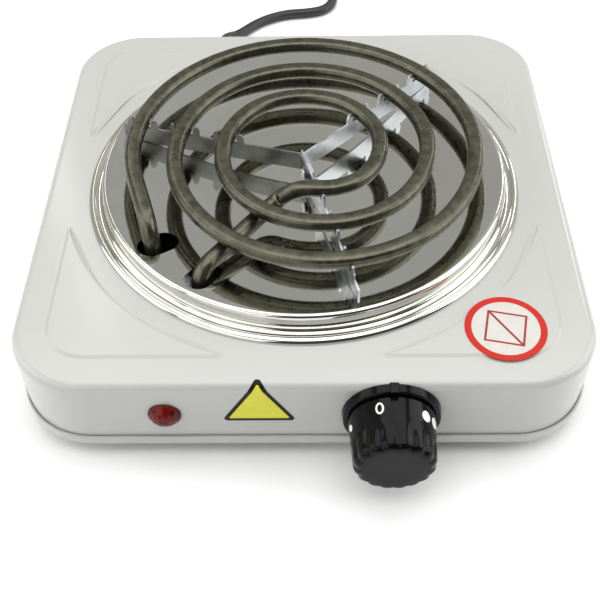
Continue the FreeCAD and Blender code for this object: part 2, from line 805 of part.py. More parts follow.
def make_arms():
    front = arm_blade("ArmFront", 0, (1, 3, 5), "-2")
    finish(cut("ArmFrontDrilled", front, hub_rod("FrontDrill", "rivet_radius", 6, "-3")),
           "arm_front")
    # The other two arms are bent at the centre and overlap the front arm, one on each side.
    low = "(%s + arm_bottom)" % top_z
    height = "%s - %s - %s" % (coil_z, tube_radius, low)
    for label, angle, turns, side in (("arm_left", -120, (0, 1, 3), -1),
                                      ("arm_back", 120, (0, 2, 4), 1)):
        name = label.title().replace("_", "")
        blade = arm_blade(name, angle, turns, "arm_sheet * sin(60)",
                          "%d * arm_sheet * cos(60)" % -side)
        tab_at = hub_point("0", "(%d - 0.5) * arm_sheet" % side)
        tab = block(name + "Tab", ("arm_tab", "arm_sheet", height),
                    (tab_at[0], tab_at[1], low), Vector(0, 0, 1), "arm_angle")
        drill = hub_rod(name + "Drill", "rivet_radius", 6, "-3")
        finish(cut(name + "Drilled", fuse(name + "Bent", blade, tab), drill), label)


def make_hub_rivet():
    shank = hub_rod("RivetShank", "rivet_radius", "3 * arm_sheet", "-1.5 * arm_sheet")
    tail = hub_rod("RivetTail", "rivet_radius + 0.9", "0.7", "1.5 * arm_sheet")
    head = hub_rod("RivetHead", "rivet_radius + 1.1", "1.2", "-1.5 * arm_sheet - 1.2")
    dome = doc.addObject("Part::Fillet", "RivetDome")
    dome.Base = head
    dome.Edges = [(3, 1.0, 1.0)]
    return finish(fuse("Rivet", shank, tail, dome), "hub_rivet")


# ---------------------------------------------------------------- lead bracket
# A bent strap under the pan that holds both leads, drawn along +X and then turned
# to the leads' direction.
strap_z = "(feet_height + body_height - 10)"


def bracket_screw_rods(name, length, radius="screw_radius", low=None, along=16):
    low = low or floor_z + " - 1.5 * rim_sheet"
    rods = [rod("%s%d" % (name, side), radius, length,
                ("lead_radius - %d" % along, "%d * 6" % side, low)) for side in (-1, 1)]
    return [turned(name + "Turned%d" % index, item, "lead_angle")
            for index, item in enumerate(rods)]


def make_lead_bracket():
    across = "lead_radius * cos(lead_spread)"
    apart = "lead_radius * sin(lead_spread)"
    plate = block("StrapPlate", (15, "2 * %s + 16" % apart, 1.2),
                  (across + " - 8", "-(%s) - 8" % apart, strap_z))
    web = block("StrapWeb", (1.2, 20, strap_z + " - " + floor_z), (across + " - 8", -10, floor_z))
    foot = block("StrapFoot", (14, 20, 1.2), (across + " - 20.8", -10, floor_z))
    lower = fuse("StrapBlank", plate, web, foot)
    holes = [rod("StrapHole%d" % side, tube_radius, 4,
                 (across, "%d * %s" % (side, apart), strap_z + " - 1")) for side in (-1, 1)]
    strap = turned("Strap", cut("StrapDrilled", lower, fuse("StrapHoles", *holes)), "lead_angle")
    drills = fuse("FootHoles", *bracket_screw_rods("FootHole", 4))
    finish(cut("StrapFinished", strap, drills), "lead_bracket")
    screws = []
    shanks = bracket_screw_rods("BracketShank", "1.2 + 2 * rim_sheet", low=floor_z + " - rim_sheet")
    heads = bracket_screw_rods("BracketHead", 1.8, 3, floor_z + " + 1.2")
    for index, (shank, head) in enumerate(zip(shanks, heads)):
        screws.append(fuse("BracketScrew%d" % index, shank, head))
    finish(group("BracketScrews", screws), "bracket_screws")


# ---------------------------------------------------------------- thermostat
# Pieces stacked behind the front wall, given by their distance behind the wall's
# inner face: the plate, then insulators and blades in turn.
plate_sheet = 1.2
stack = [("spacer", 4.0), ("bimetal", 0.8), ("spacer", 4.0), ("inner_blade", 0.8),
         ("spacer", 3.6), ("outer_blade", 0.8), ("spacer", 3.0)]
stack_radius = 4.6
blade_half = 3
pusher_radius = 1.5
button_radius = 2


def stack_starts():
    starts = []
    depth = plate_sheet
    for kind, thickness in stack:
        starts.append((kind, depth, thickness))
        depth += thickness
    return starts, depth


def mount_places():
    # The two screws of the thermostat, on a diagonal through the knob's axis.
    return [("knob_x + %d * 9.4" % side, knob_z + " + %d * 9.4" % side) for side in (-1, 1)]


def behind(depth):
    return front_inside + " + %.2f" % depth


def make_thermostat():
    starts, depth = stack_starts()
    stack_x = "(knob_x - stack_offset)"
    plate = block("PlateBlank", ("stack_offset + 22", plate_sheet, 26),
                  ("knob_x - stack_offset - 8", front_inside, knob_z + " - 13"))
    holes = [rod("PlateBore", "bush_radius", 3, ("knob_x", front_inside + " - 1", knob_z), "y"),
             rod("PlateRivetHole", 1.5, 3, (stack_x, front_inside + " - 1", knob_z), "y")]
    holes += [rod("PlateHole%d" % index, "screw_radius", 3, (x, front_inside + " - 1", z), "y")
              for index, (x, z) in enumerate(mount_places())]
    finish(cut("Plate", plate, fuse("PlateHoles", *holes)), "thermostat_plate")
    screws = []
    for index, (x, z) in enumerate(mount_places()):
        shank = rod("MountShank%d" % index, "screw_radius",
                    "shell_sheet + %.1f + 1.5" % plate_sheet, (x, front_y, z), "y")
        head = rod("MountHead%d" % index, 2.6, 1.6, (x, front_y + " - 1.6", z), "y")
        screws.append(fuse("MountScrew%d" % index, shank, head))
    finish(group("MountScrews", screws), "thermostat_screws")
    spacers = []
    for index, (kind, start, thickness) in enumerate(starts):
        hole = rod("StackHole%d" % index, 1.5, thickness + 2, (stack_x, behind(start - 1), knob_z), "y")
        if kind == "spacer":
            blank = rod("Spacer%d" % index, stack_radius, thickness,
                        (stack_x, behind(start), knob_z), "y")
            spacers.append(cut("SpacerRing%d" % index, blank, hole))
        else:
            make_blade(kind, start, thickness, stack_x, hole)
    finish(group("Spacers", spacers), "stack_spacers")
    shank = rod("StackShank", 1.5, depth, (stack_x, front_inside, knob_z), "y")
    tail = rod("StackHead", 2.8, 1.2, (stack_x, behind(depth), knob_z), "y")
    finish(fuse("StackRivet", shank, tail), "stack_rivet")
    make_bush()


def make_blade(kind, start, thickness, stack_x, hole):
    low = knob_z + " - %d" % blade_half
    if kind == "bimetal":
        strip = block("BimetalStrip", ("stack_offset + 10", thickness, 11),
                      (stack_x + " - 4", behind(start), knob_z + " - 5.5"))
        window = rod("BimetalWindow", "spindle_radius + 1", 4,
                     ("knob_x", behind(start - 1), knob_z), "y")
        finish(cut("Bimetal", strip, fuse("BimetalCuts", window, hole)), "bimetal_strip")
        return
    # The inner blade stops at the stack, where the moving leaf starts; the outer one
    # runs on behind the leaf and carries the fixed button.
    reach = "14 + %.1f" % stack_radius if kind == "inner_blade" else "stack_offset + 26"
    strip = block(kind + "Strip", (reach, thickness, 2 * blade_half),
                  (stack_x + " - 14", behind(start), low))
    blade = cut(kind + "Drilled", strip, hole)
    if kind == "outer_blade":
        button = rod("FixedButton", button_radius, 1.4,
                     ("knob_x + 9", behind(start - 1.4), knob_z), "y")
        finish(fuse("FixedContact", blade, button), "fixed_contact")
        return
    finish(blade, "leaf_terminal")
    leaf_y = behind(start + 0.2)
    leaf = block("LeafStrip", ("stack_offset + 12 - %.1f - 0.3" % stack_radius, 0.4, 2 * blade_half),
                 (stack_x + " + %.1f + 0.3" % stack_radius, leaf_y, low))
    button = rod("LeafButton", button_radius, "3.8 - 1.4 - contact_gap",
                 ("knob_x + 9", leaf_y + " + 0.4", knob_z), "y")
    finish(fuse("Leaf", leaf, button), "contact_leaf")
    pusher = rod("Pusher", pusher_radius, 3, ("knob_x", leaf_y + " - 3.05", knob_z), "y")
    finish(pusher, "pusher_pin")


def make_bush():
    body = rod("BushBody", "bush_radius", "2 + shell_sheet + 4.6", ("knob_x", front_y + " - 2", knob_z), "y")
    bore = rod("BushBore", "spindle_radius + spindle_gap", 20, ("knob_x", front_y + " - 5", knob_z), "y")
    nut = doc.addObject("Part::Prism", "BushNut")
    nut.Polygon = 6
    nut.Circumradius = number("bush_radius + 2")
    nut.setExpression("Circumradius", formula("bush_radius + 2"))
    nut.Height = 2.4
    place(nut, "knob_x", behind(plate_sheet), knob_z, Vector(-1, 0, 0), 90)
    return finish(cut("Bush", fuse("BushBlank", body, nut), bore), "threaded_bush")


# ---------------------------------------------------------------- knob
def turned_to_front(body, x, y, z):
    # The profile's axis points out of the front wall.
    return place(body, x, y, z, Vector(1, 0, 0), 90)


def knob_profile():
    length = "(knob_reach - bezel_depth - knob_gap)"
    return length, [
        ("0", length),
        ("knob_radius - 4.2", length),
        ("knob_radius - 1.3", length + " - 2.9", "3", "right"),
        ("knob_radius - 0.7", "8.4"),
        ("knob_radius", "0.6"),
        ("knob_radius - 0.6", "0"),
        ("knob_radius - 2", "0"),
        ("knob_radius - 2.8", "11"),
        ("spindle_radius + 2.4", "11"),
        ("spindle_radius + 2.4", "0"),
        ("0", "0"),
    ]


def make_knob():
    body = new_body("KnobBody")
    length, outline = knob_profile()
    sketch = new_sketch(body, "KnobProfile", "XZ_Plane")
    draw_outline(sketch, outline)
    revolve(body, "KnobTurned", sketch)
    flute = new_sketch(body, "KnobFlute", "XY_Plane", length + " + 1")
    draw_circle(flute, "knob_radius + 1.1", 0, 2.3)
    grip = pocket(body, "Flute", flute, "knob_reach - 11")
    polar(body, "Flutes", grip, int(number("knob_flutes")))
    back = front_y + " - bezel_depth - knob_gap"
    turned_to_front(body, "knob_x", back, knob_z)
    spindle = make_spindle(length)
    finish(cut("Knob", body, spindle), "knob")
    finish(group("KnobShaft", [spindle]), "knob_spindle")


def make_spindle(length):
    # Round steel shaft with a flat where the knob is pushed on.
    inside = "(7 + shell_sheet)"
    front = "(bezel_depth + knob_gap + %s - 4)" % length
    shaft = rod("Shaft", "spindle_radius", "%s + %s" % (inside, front),
                ("knob_x", front_y + " - " + front, knob_z), "y")
    flat = block("ShaftFlat", ("2 * spindle_radius", length + " - 4", "spindle_radius"),
                 ("knob_x - spindle_radius", front_y + " - " + front, knob_z + " + spindle_radius - 1.2"))
    return cut("Spindle", shaft, flat)


def make_bezel():
    # A fixed ring around the knob, hollow behind, with a pointer rib on top.
    body = new_body("BezelBody")
    sketch = new_sketch(body, "BezelProfile", "XZ_Plane")
    draw_outline(sketch, [
        ("7.5", "bezel_depth - 1.2"), ("7.5", "bezel_depth"), ("bezel_radius - 1.2", "bezel_depth"),
        ("bezel_radius - 0.4", "bezel_depth - 0.8", "0.8", "right"), ("bezel_radius", "0"),
        ("bezel_radius - 1.4", "0"), ("bezel_radius - 1.6", "bezel_depth - 1.2"),
    ])
    revolve(body, "BezelTurned", sketch)
    turned_to_front(body, "knob_x", front_y, knob_z)
    rib = block("PointerRib", (3.6, "bezel_depth + 1", 1.7),
                ("knob_x - 1.8", front_y + " - bezel_depth - 1", knob_z + " + bezel_radius - 0.8"))
    notch = block("LipNotch", ("2 * bezel_radius", "rim_gap + rim_sheet + 0.4", "2 * rim_height"),
                  ("knob_x - bezel_radius", front_y + " - rim_gap - rim_sheet - 0.3",
                   "feet_height - rim_height + 0.3"))
    return finish(cut("Bezel", fuse("BezelRibbed", body, rib), notch), "knob_bezel")


# ---------------------------------------------------------------- indicator lamp
def make_lamp():
    lens = new_body("LensBody")
    sketch = new_sketch(lens, "LensProfile", "XZ_Plane")
    bore = "(lamp_stem - 1)"
    dome = "(((lamp_radius - 0.6) ^ 2 + lamp_dome ^ 2) / (2 * lamp_dome))"
    draw_outline(sketch, [
        ("0", "1"), (bore, "1"), (bore, "-6"), ("lamp_stem", "-6"), ("lamp_stem", "0"),
        ("lamp_radius", "0"), ("lamp_radius", "0.9"), ("lamp_radius - 0.6", "1.2"),
        ("0", "1.2 + lamp_dome", dome, "left"),
    ])
    revolve(lens, "LensTurned", sketch)
    finish(turned_to_front(lens, "lamp_x", front_y, lamp_z), "lamp_lens")
    outer = rod("HolderOuter", "lamp_stem + 1.4", 17, ("lamp_x", front_inside, lamp_z), "y")
    inner = rod("HolderBore", "lamp_stem + 0.05", 16, ("lamp_x", front_inside + " - 1", lamp_z), "y")
    leads = [rod("HolderLead%d" % side, 0.6, 4,
                 ("lamp_x + %d * 1.2" % side, front_inside + " + 14", lamp_z), "y")
             for side in (-1, 1)]
    finish(cut("Holder", outer, fuse("HolderCuts", inner, *leads)), "lamp_holder")
    clip = rod("ClipBlank", "lamp_stem + 4", 0.6, ("lamp_x", front_inside, lamp_z), "y")
    hole = rod("ClipHole", "lamp_stem + 1.4", 3, ("lamp_x", front_inside + " - 1", lamp_z), "y")
    finish(cut("Clip", clip, hole), "lamp_clip")
    glass = rod("NeonGlass", 2.2, 9, ("lamp_x", front_inside + " + 2", lamp_z), "y")
    tip = primitive("Sphere", "NeonTip", ("lamp_x", front_inside + " + 2", lamp_z), Radius=2.2)
    wires = [rod("NeonLead%d" % side, 0.6, 7,
                 ("lamp_x + %d * 1.2" % side, front_inside + " + 11", lamp_z), "y")
             for side in (-1, 1)]
    finish(fuse("NeonBulb", glass, tip), "neon_bulb")
    finish(group("NeonLeads", wires), "neon_leads")


# ---------------------------------------------------------------- labels
def make_labels():
    disc = rod("WarningDisc", "warning_radius", "label_sheet",
               ("warning_x", "warning_y", top_z + " + field_height"))
    finish(disc, "warning_disc")
    # The triangle lies on the front wall, and its tip bends back over the top edge.
    half = number("triangle_side / 2")
    tall = half * math.sqrt(3)
    edge, sheet_in = number("edge_radius"), number("label_sheet")
    top, front = number(top_z), number(front_y)
    base = top + number("triangle_base")
    centre = Vector(0, front + edge, top - edge)
    inner = edge + 0.002
    outer = edge + sheet_in
    corner = [Vector(0, math.cos(math.radians(a)), math.sin(math.radians(a))) for a in (180, 135, 90)]
    band = Part.Wire([
        Part.LineSegment(Vector(0, front - 0.002, base), centre + corner[0] * inner).toShape(),
        Part.Arc(*(centre + way * inner for way in corner)).toShape(),
        Part.LineSegment(centre + corner[2] * inner, centre + corner[2] * outer).toShape(),
        Part.Arc(*(centre + way * outer for way in reversed(corner))).toShape(),
        Part.LineSegment(centre + corner[0] * outer, Vector(0, front - sheet_in, base)).toShape(),
        Part.LineSegment(Vector(0, front - sheet_in, base), Vector(0, front - 0.002, base)).toShape(),
    ])
    middle = number("triangle_x")
    strip = Part.Face(band).extrude(Vector(2 * half, 0, 0))
    strip.translate(Vector(middle - half, 0, 0))
    outline = [Vector(middle - half, 0, base), Vector(middle + half, 0, base),
               Vector(middle, 0, base + tall), Vector(middle - half, 0, base)]
    prism = Part.Face(Part.makePolygon(outline)).extrude(Vector(0, -200, 0))
    finish(shape_part("Triangle", strip.common(prism)), "warning_triangle")


# ---------------------------------------------------------------- cord and wiring
relief_end = "(body_depth / 2 + 2 + relief_length)"


def make_strain_relief():
    # A moulded bush held in the back wall, with a tapered sleeve around the cord.
    body = new_body("ReliefBody")
    sketch = new_sketch(body, "ReliefProfile", "XZ_Plane")
    bore = "cord_diameter / 2"
    draw_outline(sketch, [
        (bore, "-shell_sheet - 2.5"), ("cord_diameter + 2", "-shell_sheet - 2.5"),
        ("cord_diameter + 2", "-shell_sheet"), ("cord_diameter", "-shell_sheet"),
        ("cord_diameter", "0"), ("cord_diameter + 2.2", "0"), ("cord_diameter + 2.2", "2"),
        ("0.9 * cord_diameter", "2"), ("0.68 * cord_diameter", "2 + relief_length"),
        (bore, "2 + relief_length"),
    ])
    revolve(body, "ReliefTurned", sketch)
    place(body, "cord_x", back_y, cord_z, Vector(-1, 0, 0), 90)
    notch = block("ReliefNotch", ("4 * cord_diameter", "rim_gap + rim_sheet + 0.3", "2 * rim_height"),
                  ("cord_x - 2 * cord_diameter", back_y, "feet_height - rim_height + 0.3"))
    finish(cut("Relief", body, notch), "strain_relief")


def make_inner_cord():
    start = "(body_depth / 2 - 22)"
    inner = rod("InnerCord", "cord_diameter / 2", relief_end + " - " + start,
                ("cord_x", start, cord_z), "y")
    finish(inner, "inner_cord")
    lower = block("ClampBlank", (24, 8, cord_z + " + cord_diameter / 2 + 2 - " + floor_z),
                  ("cord_x - 12", "body_depth / 2 - 21", floor_z))
    bore = rod("ClampBore", "cord_diameter / 2", 12, ("cord_x", "body_depth / 2 - 23", cord_z), "y")
    screws, drills = [], []
    for side in (-1, 1):
        at_x = "cord_x + %d * 8" % side
        along = "body_depth / 2 - 17"
        length = cord_z + " + cord_diameter / 2 + 2 - feet_height"
        drills.append(rod("ClampDrill%d" % side, "screw_radius", length,
                          (at_x, along, "feet_height")))
        shank = rod("ClampShank%d" % side, "screw_radius", length, (at_x, along, "feet_height"))
        head = rod("ClampHead%d" % side, 3, 1.8,
                   (at_x, along, cord_z + " + cord_diameter / 2 + 2"))
        screws.append(fuse("ClampScrew%d" % side, shank, head))
    finish(cut("Clamp", lower, fuse("ClampCuts", bore, *drills)), "cord_clamp")
    finish(group("ClampScrews", screws), "clamp_screws")


def wire_routes():
    # Insulated wires, kept low inside the housing and clear of each other.
    start_y = number("body_depth / 2 - 22")
    cord, floor = number(cord_z), number(floor_z)
    low = floor + number("wire_diameter") / 2 + 0.1
    spread = number("wire_diameter") / 2 + 0.15
    middle = number("cord_x")
    tail = number("knob_x - stack_offset - 14")
    blade_y = {kind: number(behind(start + thickness / 2))
               for kind, start, thickness in stack_starts()[0]}
    inner, outer = blade_y["inner_blade"], blade_y["outer_blade"]
    height = number(knob_z)
    pins = [lead_place(sign) for sign in (-1, 1)]
    pin_z = number(top_z + " + lead_bottom - 11")
    screw_x, screw_y = number("cord_x + 40"), number("body_depth / 2 - 25")
    lamp = Vector(number("lamp_x"), number(front_inside) + 18, number(lamp_z))
    block_y = number("terminal_size / 2")
    return {
        "wire_live": [Vector(middle + spread, start_y, cord - spread),
                      Vector(middle + spread, start_y - 5, cord - spread),
                      Vector(middle + 3, start_y - 12, cord - 3), Vector(middle + 20, 50, low),
                      Vector(-2, -20, low), Vector(-8, -72, low), Vector(-16, -96, 14),
                      Vector(-11, inner, height), Vector(tail, inner, height)],
        "wire_load": [Vector(tail, outer, height), Vector(-5, outer, height),
                      Vector(-15, -88, height), Vector(-30, -76, 13),
                      Vector(pins[1].x, pins[1].y, 11.5), Vector(pins[1].x, pins[1].y, pin_z)],
        "wire_neutral": [Vector(middle - spread, start_y, cord - spread),
                         Vector(middle - spread, start_y - 5, cord - spread),
                         Vector(middle - 4, start_y - 12, cord - 4), Vector(-72, 50, low),
                         Vector(-80, -10, low), Vector(-72, -42, low),
                         Vector(pins[0].x, pins[0].y, 11.5), Vector(pins[0].x, pins[0].y, pin_z)],
        "wire_earth": [Vector(middle, start_y, cord + spread),
                       Vector(middle, start_y - 4, cord + spread),
                       Vector(middle + 11, start_y - 7, cord),
                       Vector(screw_x - 16, screw_y, low), Vector(screw_x - 3.4, screw_y, low)],
        "lamp_wire_one": [Vector(lamp.x - 1.2, lamp.y, lamp.z),
                          Vector(lamp.x - 1.2, lamp.y + 8, lamp.z),
                          Vector(pins[0].x, pins[0].y - 22, pin_z + 4),
                          Vector(pins[0].x, pins[0].y - block_y, pin_z + 4)],
        "lamp_wire_two": [Vector(lamp.x + 1.2, lamp.y, lamp.z),
                          Vector(lamp.x + 1.8, lamp.y + 9, lamp.z),
                          Vector(pins[1].x, pins[1].y - 12, pin_z + 4),
                          Vector(pins[1].x, pins[1].y - block_y, pin_z + 4)],
    }


def make_wires():
    lamp_wires = []
    for label, route in wire_routes().items():
        radius = number("wire_diameter / 2")
        edges = rounded_path(route, widest_radii(route, 0.4))
        wire = shape_part(label.title().replace("_", ""), tube_along(edges, radius))
        if label.startswith("lamp"):
            lamp_wires.append(wire)
        else:
            finish(wire, label)
    finish(group("LampWires", lamp_wires), "lamp_wires")
    at = ("cord_x + 40", "body_depth / 2 - 25")
    stud = rod("EarthShank", "screw_radius", "rim_sheet + 6", (at[0], at[1], "feet_height"))
    nut = rod("EarthNut", 3.4, 2.4, (at[0], at[1], floor_z))
    finish(fuse("EarthScrew", stud, nut), "earth_screw")


def cord_route():
    # From the sleeve, down to the table, across it and round to the coiled length.
    floor = number("cord_diameter / 2 + 0.15")
    x, z = number("cord_x"), number(cord_z)
    start = number(relief_end)
    hank = Vector(number("hank_x"), number("hank_y"), 0)
    turn = number("hank_radius + cord_diameter / 2")
    return [
        Vector(x, start, z),
        Vector(x, start + 7.5, z),
        Vector(x + 0.5, start + 17.5, z - 2.5),
        Vector(x + 2.5, start + 27.8, z - 7.9),
        Vector(x + 6.5, start + 38.5, floor),
        Vector(x + 19, start + 53, floor),
        Vector(x + 34.5, start + 61, floor),
        Vector(x + 49, start + 62, floor),
        Vector(x + 60, start + 65.5, floor),
        Vector(x + 65.5, start + 76, floor),
        Vector(x + 62.5, start + 91, floor),
        Vector(hank.x + turn + 1.5, start + 106, floor + 0.3),
        Vector(hank.x + turn, start + 117, floor + 0.5),
    ]


def make_cord():
    route = cord_route()
    radii = widest_radii(route)
    print("cord arc radii:", " ".join("%.1f" % radius for radius in radii))
    tube = tube_along(rounded_path(route, radii), number("cord_diameter / 2"))
    finish(shape_part("Cord", tube), "power_cord")
    body = new_body("HankBody")
    sketch = new_sketch(body, "HankProfile", "XZ_Plane")
    inner = "(hank_radius - cord_diameter - 0.1)"
    outer = "(hank_radius + cord_diameter + 0.3)"
    draw_outline(sketch, [(inner, "tie_sheet"), (outer, "tie_sheet"), (outer, hank_top),
                          (inner, hank_top)])
    revolve(body, "Hank", sketch)
    place(body, "hank_x", "hank_y", 0)
    finish(body, "cord_coil")


hank_top = "(2 * cord_diameter + 0.3 + tie_sheet)"


def make_plug():
    # The plug's axis is level and points along -X, tangent to the back of the coil.
    at_y = "(hank_y + hank_radius)"
    tail = rod("PlugTailRod", "cord_diameter / 2", 26, ("hank_x - 34", at_y, "plug_radius"), "x")
    finish(tail, "plug_lead")
    body = new_body("PlugBody")
    sketch = new_sketch(body, "PlugProfile", "XZ_Plane")
    small = "(cord_diameter * 0.68)"
    draw_outline(sketch, [
        ("0", "0"), (small, "0"), ("cord_diameter * 0.9", "20"), ("plug_radius - 3.5", "22"),
        ("plug_radius", "26", "5", "right"), ("plug_radius", "20 + plug_length - 2"),
        ("plug_radius - 2", "20 + plug_length", "2", "left"), ("0", "20 + plug_length"),
    ])
    revolve(body, "PlugTurned", sketch)
    place(body, "hank_x - 34", at_y, "plug_radius", Vector(0, 1, 0), -90)
    finish(body, "plug_body")
    pins = []
    for side in (-1, 1):
        pins.append(rod("PlugPin%d" % side, 2, 19,
                        ("hank_x - 34 - 20 - plug_length - 19",
                         at_y + " + %d * 9.5" % side, "plug_radius"), "x"))
    finish(group("PlugPins", pins), "plug_pins")


def make_tie():
    # A strap that wraps the coil's section on its far side.
    outer = block("TieOuter", ("2 * cord_diameter + 2 * tie_sheet + 0.9", 6, hank_top + " + tie_sheet"),
                  ("hank_x - hank_radius - cord_diameter - 0.4 - tie_sheet", "hank_y - 3", "0"))
    inner = block("TieInner", ("2 * cord_diameter + 0.9", 8, hank_top + " - tie_sheet"),
                  ("hank_x - hank_radius - cord_diameter - 0.4", "hank_y - 4", "tie_sheet"))
    finish(cut("Tie", outer, inner), "cord_tie")


# ---------------------------------------------------------------- build and write
def check_and_export():
    doc.recompute()
    faults = [item.Name for item in doc.Objects if {"Invalid", "Error"} & set(item.State)]
    labels = set()
    for item in finished:
        shape = item.Shape
        if shape.isNull() or not shape.isValid() or not shape.Solids:
            faults.append(item.Label)
        labels.add(item.Label)
    if faults or len(labels) != len(finished):
        raise RuntimeError("faulty objects: " + ", ".join(faults))
    os.makedirs("parts", exist_ok=True)
    for item in finished:
        item.Shape.exportStep("parts/%s.step" % item.Label)
        print("%-20s %d solids %.0f mm3" % (item.Label, len(item.Shape.Solids), item.Shape.Volume))


fill_sheet()
make_top_shell()
make_base_pan()
make_posts_feet_and_screws()
make_drip_pan()
make_heating_coil()
make_lead_ends()
make_arms()
make_hub_rivet()
make_lead_bracket()
make_thermostat()
make_knob()
make_bezel()
make_lamp()
make_labels()
make_strain_relief()
make_inner_cord()
make_wires()
make_cord()
make_plug()
make_tie()
check_and_export()
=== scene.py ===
import math
import bmesh
import bpy
from mathutils import Matrix, Vector


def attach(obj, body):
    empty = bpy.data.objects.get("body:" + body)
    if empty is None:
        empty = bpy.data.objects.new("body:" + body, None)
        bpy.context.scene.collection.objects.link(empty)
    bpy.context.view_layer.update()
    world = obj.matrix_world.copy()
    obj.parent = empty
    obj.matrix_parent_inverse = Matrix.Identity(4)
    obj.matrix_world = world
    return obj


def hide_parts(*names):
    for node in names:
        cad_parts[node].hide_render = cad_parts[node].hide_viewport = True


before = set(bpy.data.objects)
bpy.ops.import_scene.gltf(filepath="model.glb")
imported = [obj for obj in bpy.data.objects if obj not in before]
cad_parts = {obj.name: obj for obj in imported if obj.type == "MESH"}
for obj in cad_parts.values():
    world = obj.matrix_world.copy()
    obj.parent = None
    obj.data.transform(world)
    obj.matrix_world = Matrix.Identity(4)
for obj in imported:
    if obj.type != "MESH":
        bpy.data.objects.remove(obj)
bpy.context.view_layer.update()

mm = 0.001
bodyShift = 11.95 * mm      # the body's middle stands this far behind the frame's origin
topHeight = 45 * mm         # top of the housing above the table


def spot(x, y, z):
    # A point given in millimetres from the middle of the body and the table.
    return Vector((x * mm, y * mm + bodyShift, z * mm))


def onCircle(radius, angle, height=0):
    return Vector((radius * math.cos(angle), radius * math.sin(angle), height))


def linked(name, data):
    # A new object, put in the scene.
    item = bpy.data.objects.new(name, data)
    bpy.context.scene.collection.objects.link(item)
    return item


def plainMesh(name, verts, faces, edges=()):
    mesh = bpy.data.meshes.new(name)
    mesh.from_pydata([tuple(v) for v in verts], list(edges), faces)
    return mesh


# Camera, seen from the front and above.
cameraSetup = {
    "place": (4.308, -324.25, 334.435),
    "yaw": math.radians(-1.239),
    "pitch": math.radians(48.939),
    "roll": math.radians(-1.266),
    "lens": 57.43,
}


def addCamera(setup):
    yaw, pitch, roll = setup["yaw"], setup["pitch"], setup["roll"]
    ahead = Vector((math.sin(yaw) * math.cos(pitch), math.cos(yaw) * math.cos(pitch), -math.sin(pitch)))
    level = Vector((math.cos(yaw), -math.sin(yaw), 0))
    upright = level.cross(ahead)
    right = level * math.cos(roll) + upright * math.sin(roll)
    up = upright * math.cos(roll) - level * math.sin(roll)
    data = bpy.data.cameras.new("camera")
    data.lens = setup["lens"]
    data.sensor_width = 36
    data.clip_start = 0.01
    camera = linked("camera", data)
    turn = Matrix((right, up, -ahead)).transposed()
    camera.matrix_world = Matrix.Translation(spot(*setup["place"])) @ turn.to_4x4()
    bpy.context.scene.camera = camera


addCamera(cameraSetup)
print("camera ready")


# Nodes for the materials.
def addNode(tree, kind, **values):
    node = tree.nodes.new(kind)
    for key, value in values.items():
        if key in node.inputs:
            node.inputs[key].default_value = value
        else:
            setattr(node, key, value)
    return node


def newGroup(name, inputs, outputs):
    tree = bpy.data.node_groups.new(name, "ShaderNodeTree")
    kinds = {"vector": "NodeSocketVector", "value": "NodeSocketFloat", "colour": "NodeSocketColor"}
    for label, kind, start in inputs:
        socket = tree.interface.new_socket(name=label, in_out="INPUT", socket_type=kinds[kind])
        if start is not None:
            socket.default_value = start
    for label, kind in outputs:
        tree.interface.new_socket(name=label, in_out="OUTPUT", socket_type=kinds[kind])
    return tree, tree.nodes.new("NodeGroupInput"), tree.nodes.new("NodeGroupOutput")


def mathNode(tree, operation, first, second=None, clamp=False):
    node = tree.nodes.new("ShaderNodeMath")
    node.operation = operation
    node.use_clamp = clamp
    for socket, value in zip(node.inputs, (first, second)):
        if value is None:
            continue
        if isinstance(value, (int, float)):
            socket.default_value = value
        else:
            tree.links.new(value, socket)
    return node.outputs[0]


def mapped(tree, value, low, high, toLow=0.0, toHigh=1.0, smooth=False):
    node = tree.nodes.new("ShaderNodeMapRange")
    node.interpolation_type = "SMOOTHSTEP" if smooth else "LINEAR"
    tree.links.new(value, node.inputs["Value"])
    for socket, number in zip(("From Min", "From Max", "To Min", "To Max"), (low, high, toLow, toHigh)):
        node.inputs[socket].default_value = number
    return node.outputs["Result"]


def blended(tree, amount, first, second):
    node = tree.nodes.new("ShaderNodeMix")
    node.data_type = "RGBA"
    tree.links.new(amount, node.inputs["Factor"])
    for socket, value in ((node.inputs[6], first), (node.inputs[7], second)):
        if isinstance(value, tuple):
            socket.default_value = (*value, 1)
        else:
            tree.links.new(value, socket)
    return node.outputs[2]


def makeMottleGroup():
    # Slow and fine variation that every finish shares.
    inputs = [("Vector", "vector", None), ("Scale", "value", 60.0), ("Fine Scale", "value", 900.0)]
    tree, start, end = newGroup("mottle", inputs, [("Tone", "value"), ("Height", "value")])
    slow = addNode(tree, "ShaderNodeTexNoise", Detail=4.0, Roughness=0.55)
    fine = addNode(tree, "ShaderNodeTexNoise", Detail=2.0, Roughness=0.5)
    for node, scale in ((slow, "Scale"), (fine, "Fine Scale")):
        tree.links.new(start.outputs["Vector"], node.inputs["Vector"])
        tree.links.new(start.outputs[scale], node.inputs["Scale"])
    tree.links.new(mapped(tree, slow.outputs["Fac"], 0.3, 0.7), end.inputs["Tone"])
    tree.links.new(fine.outputs["Fac"], end.inputs["Height"])
    return tree


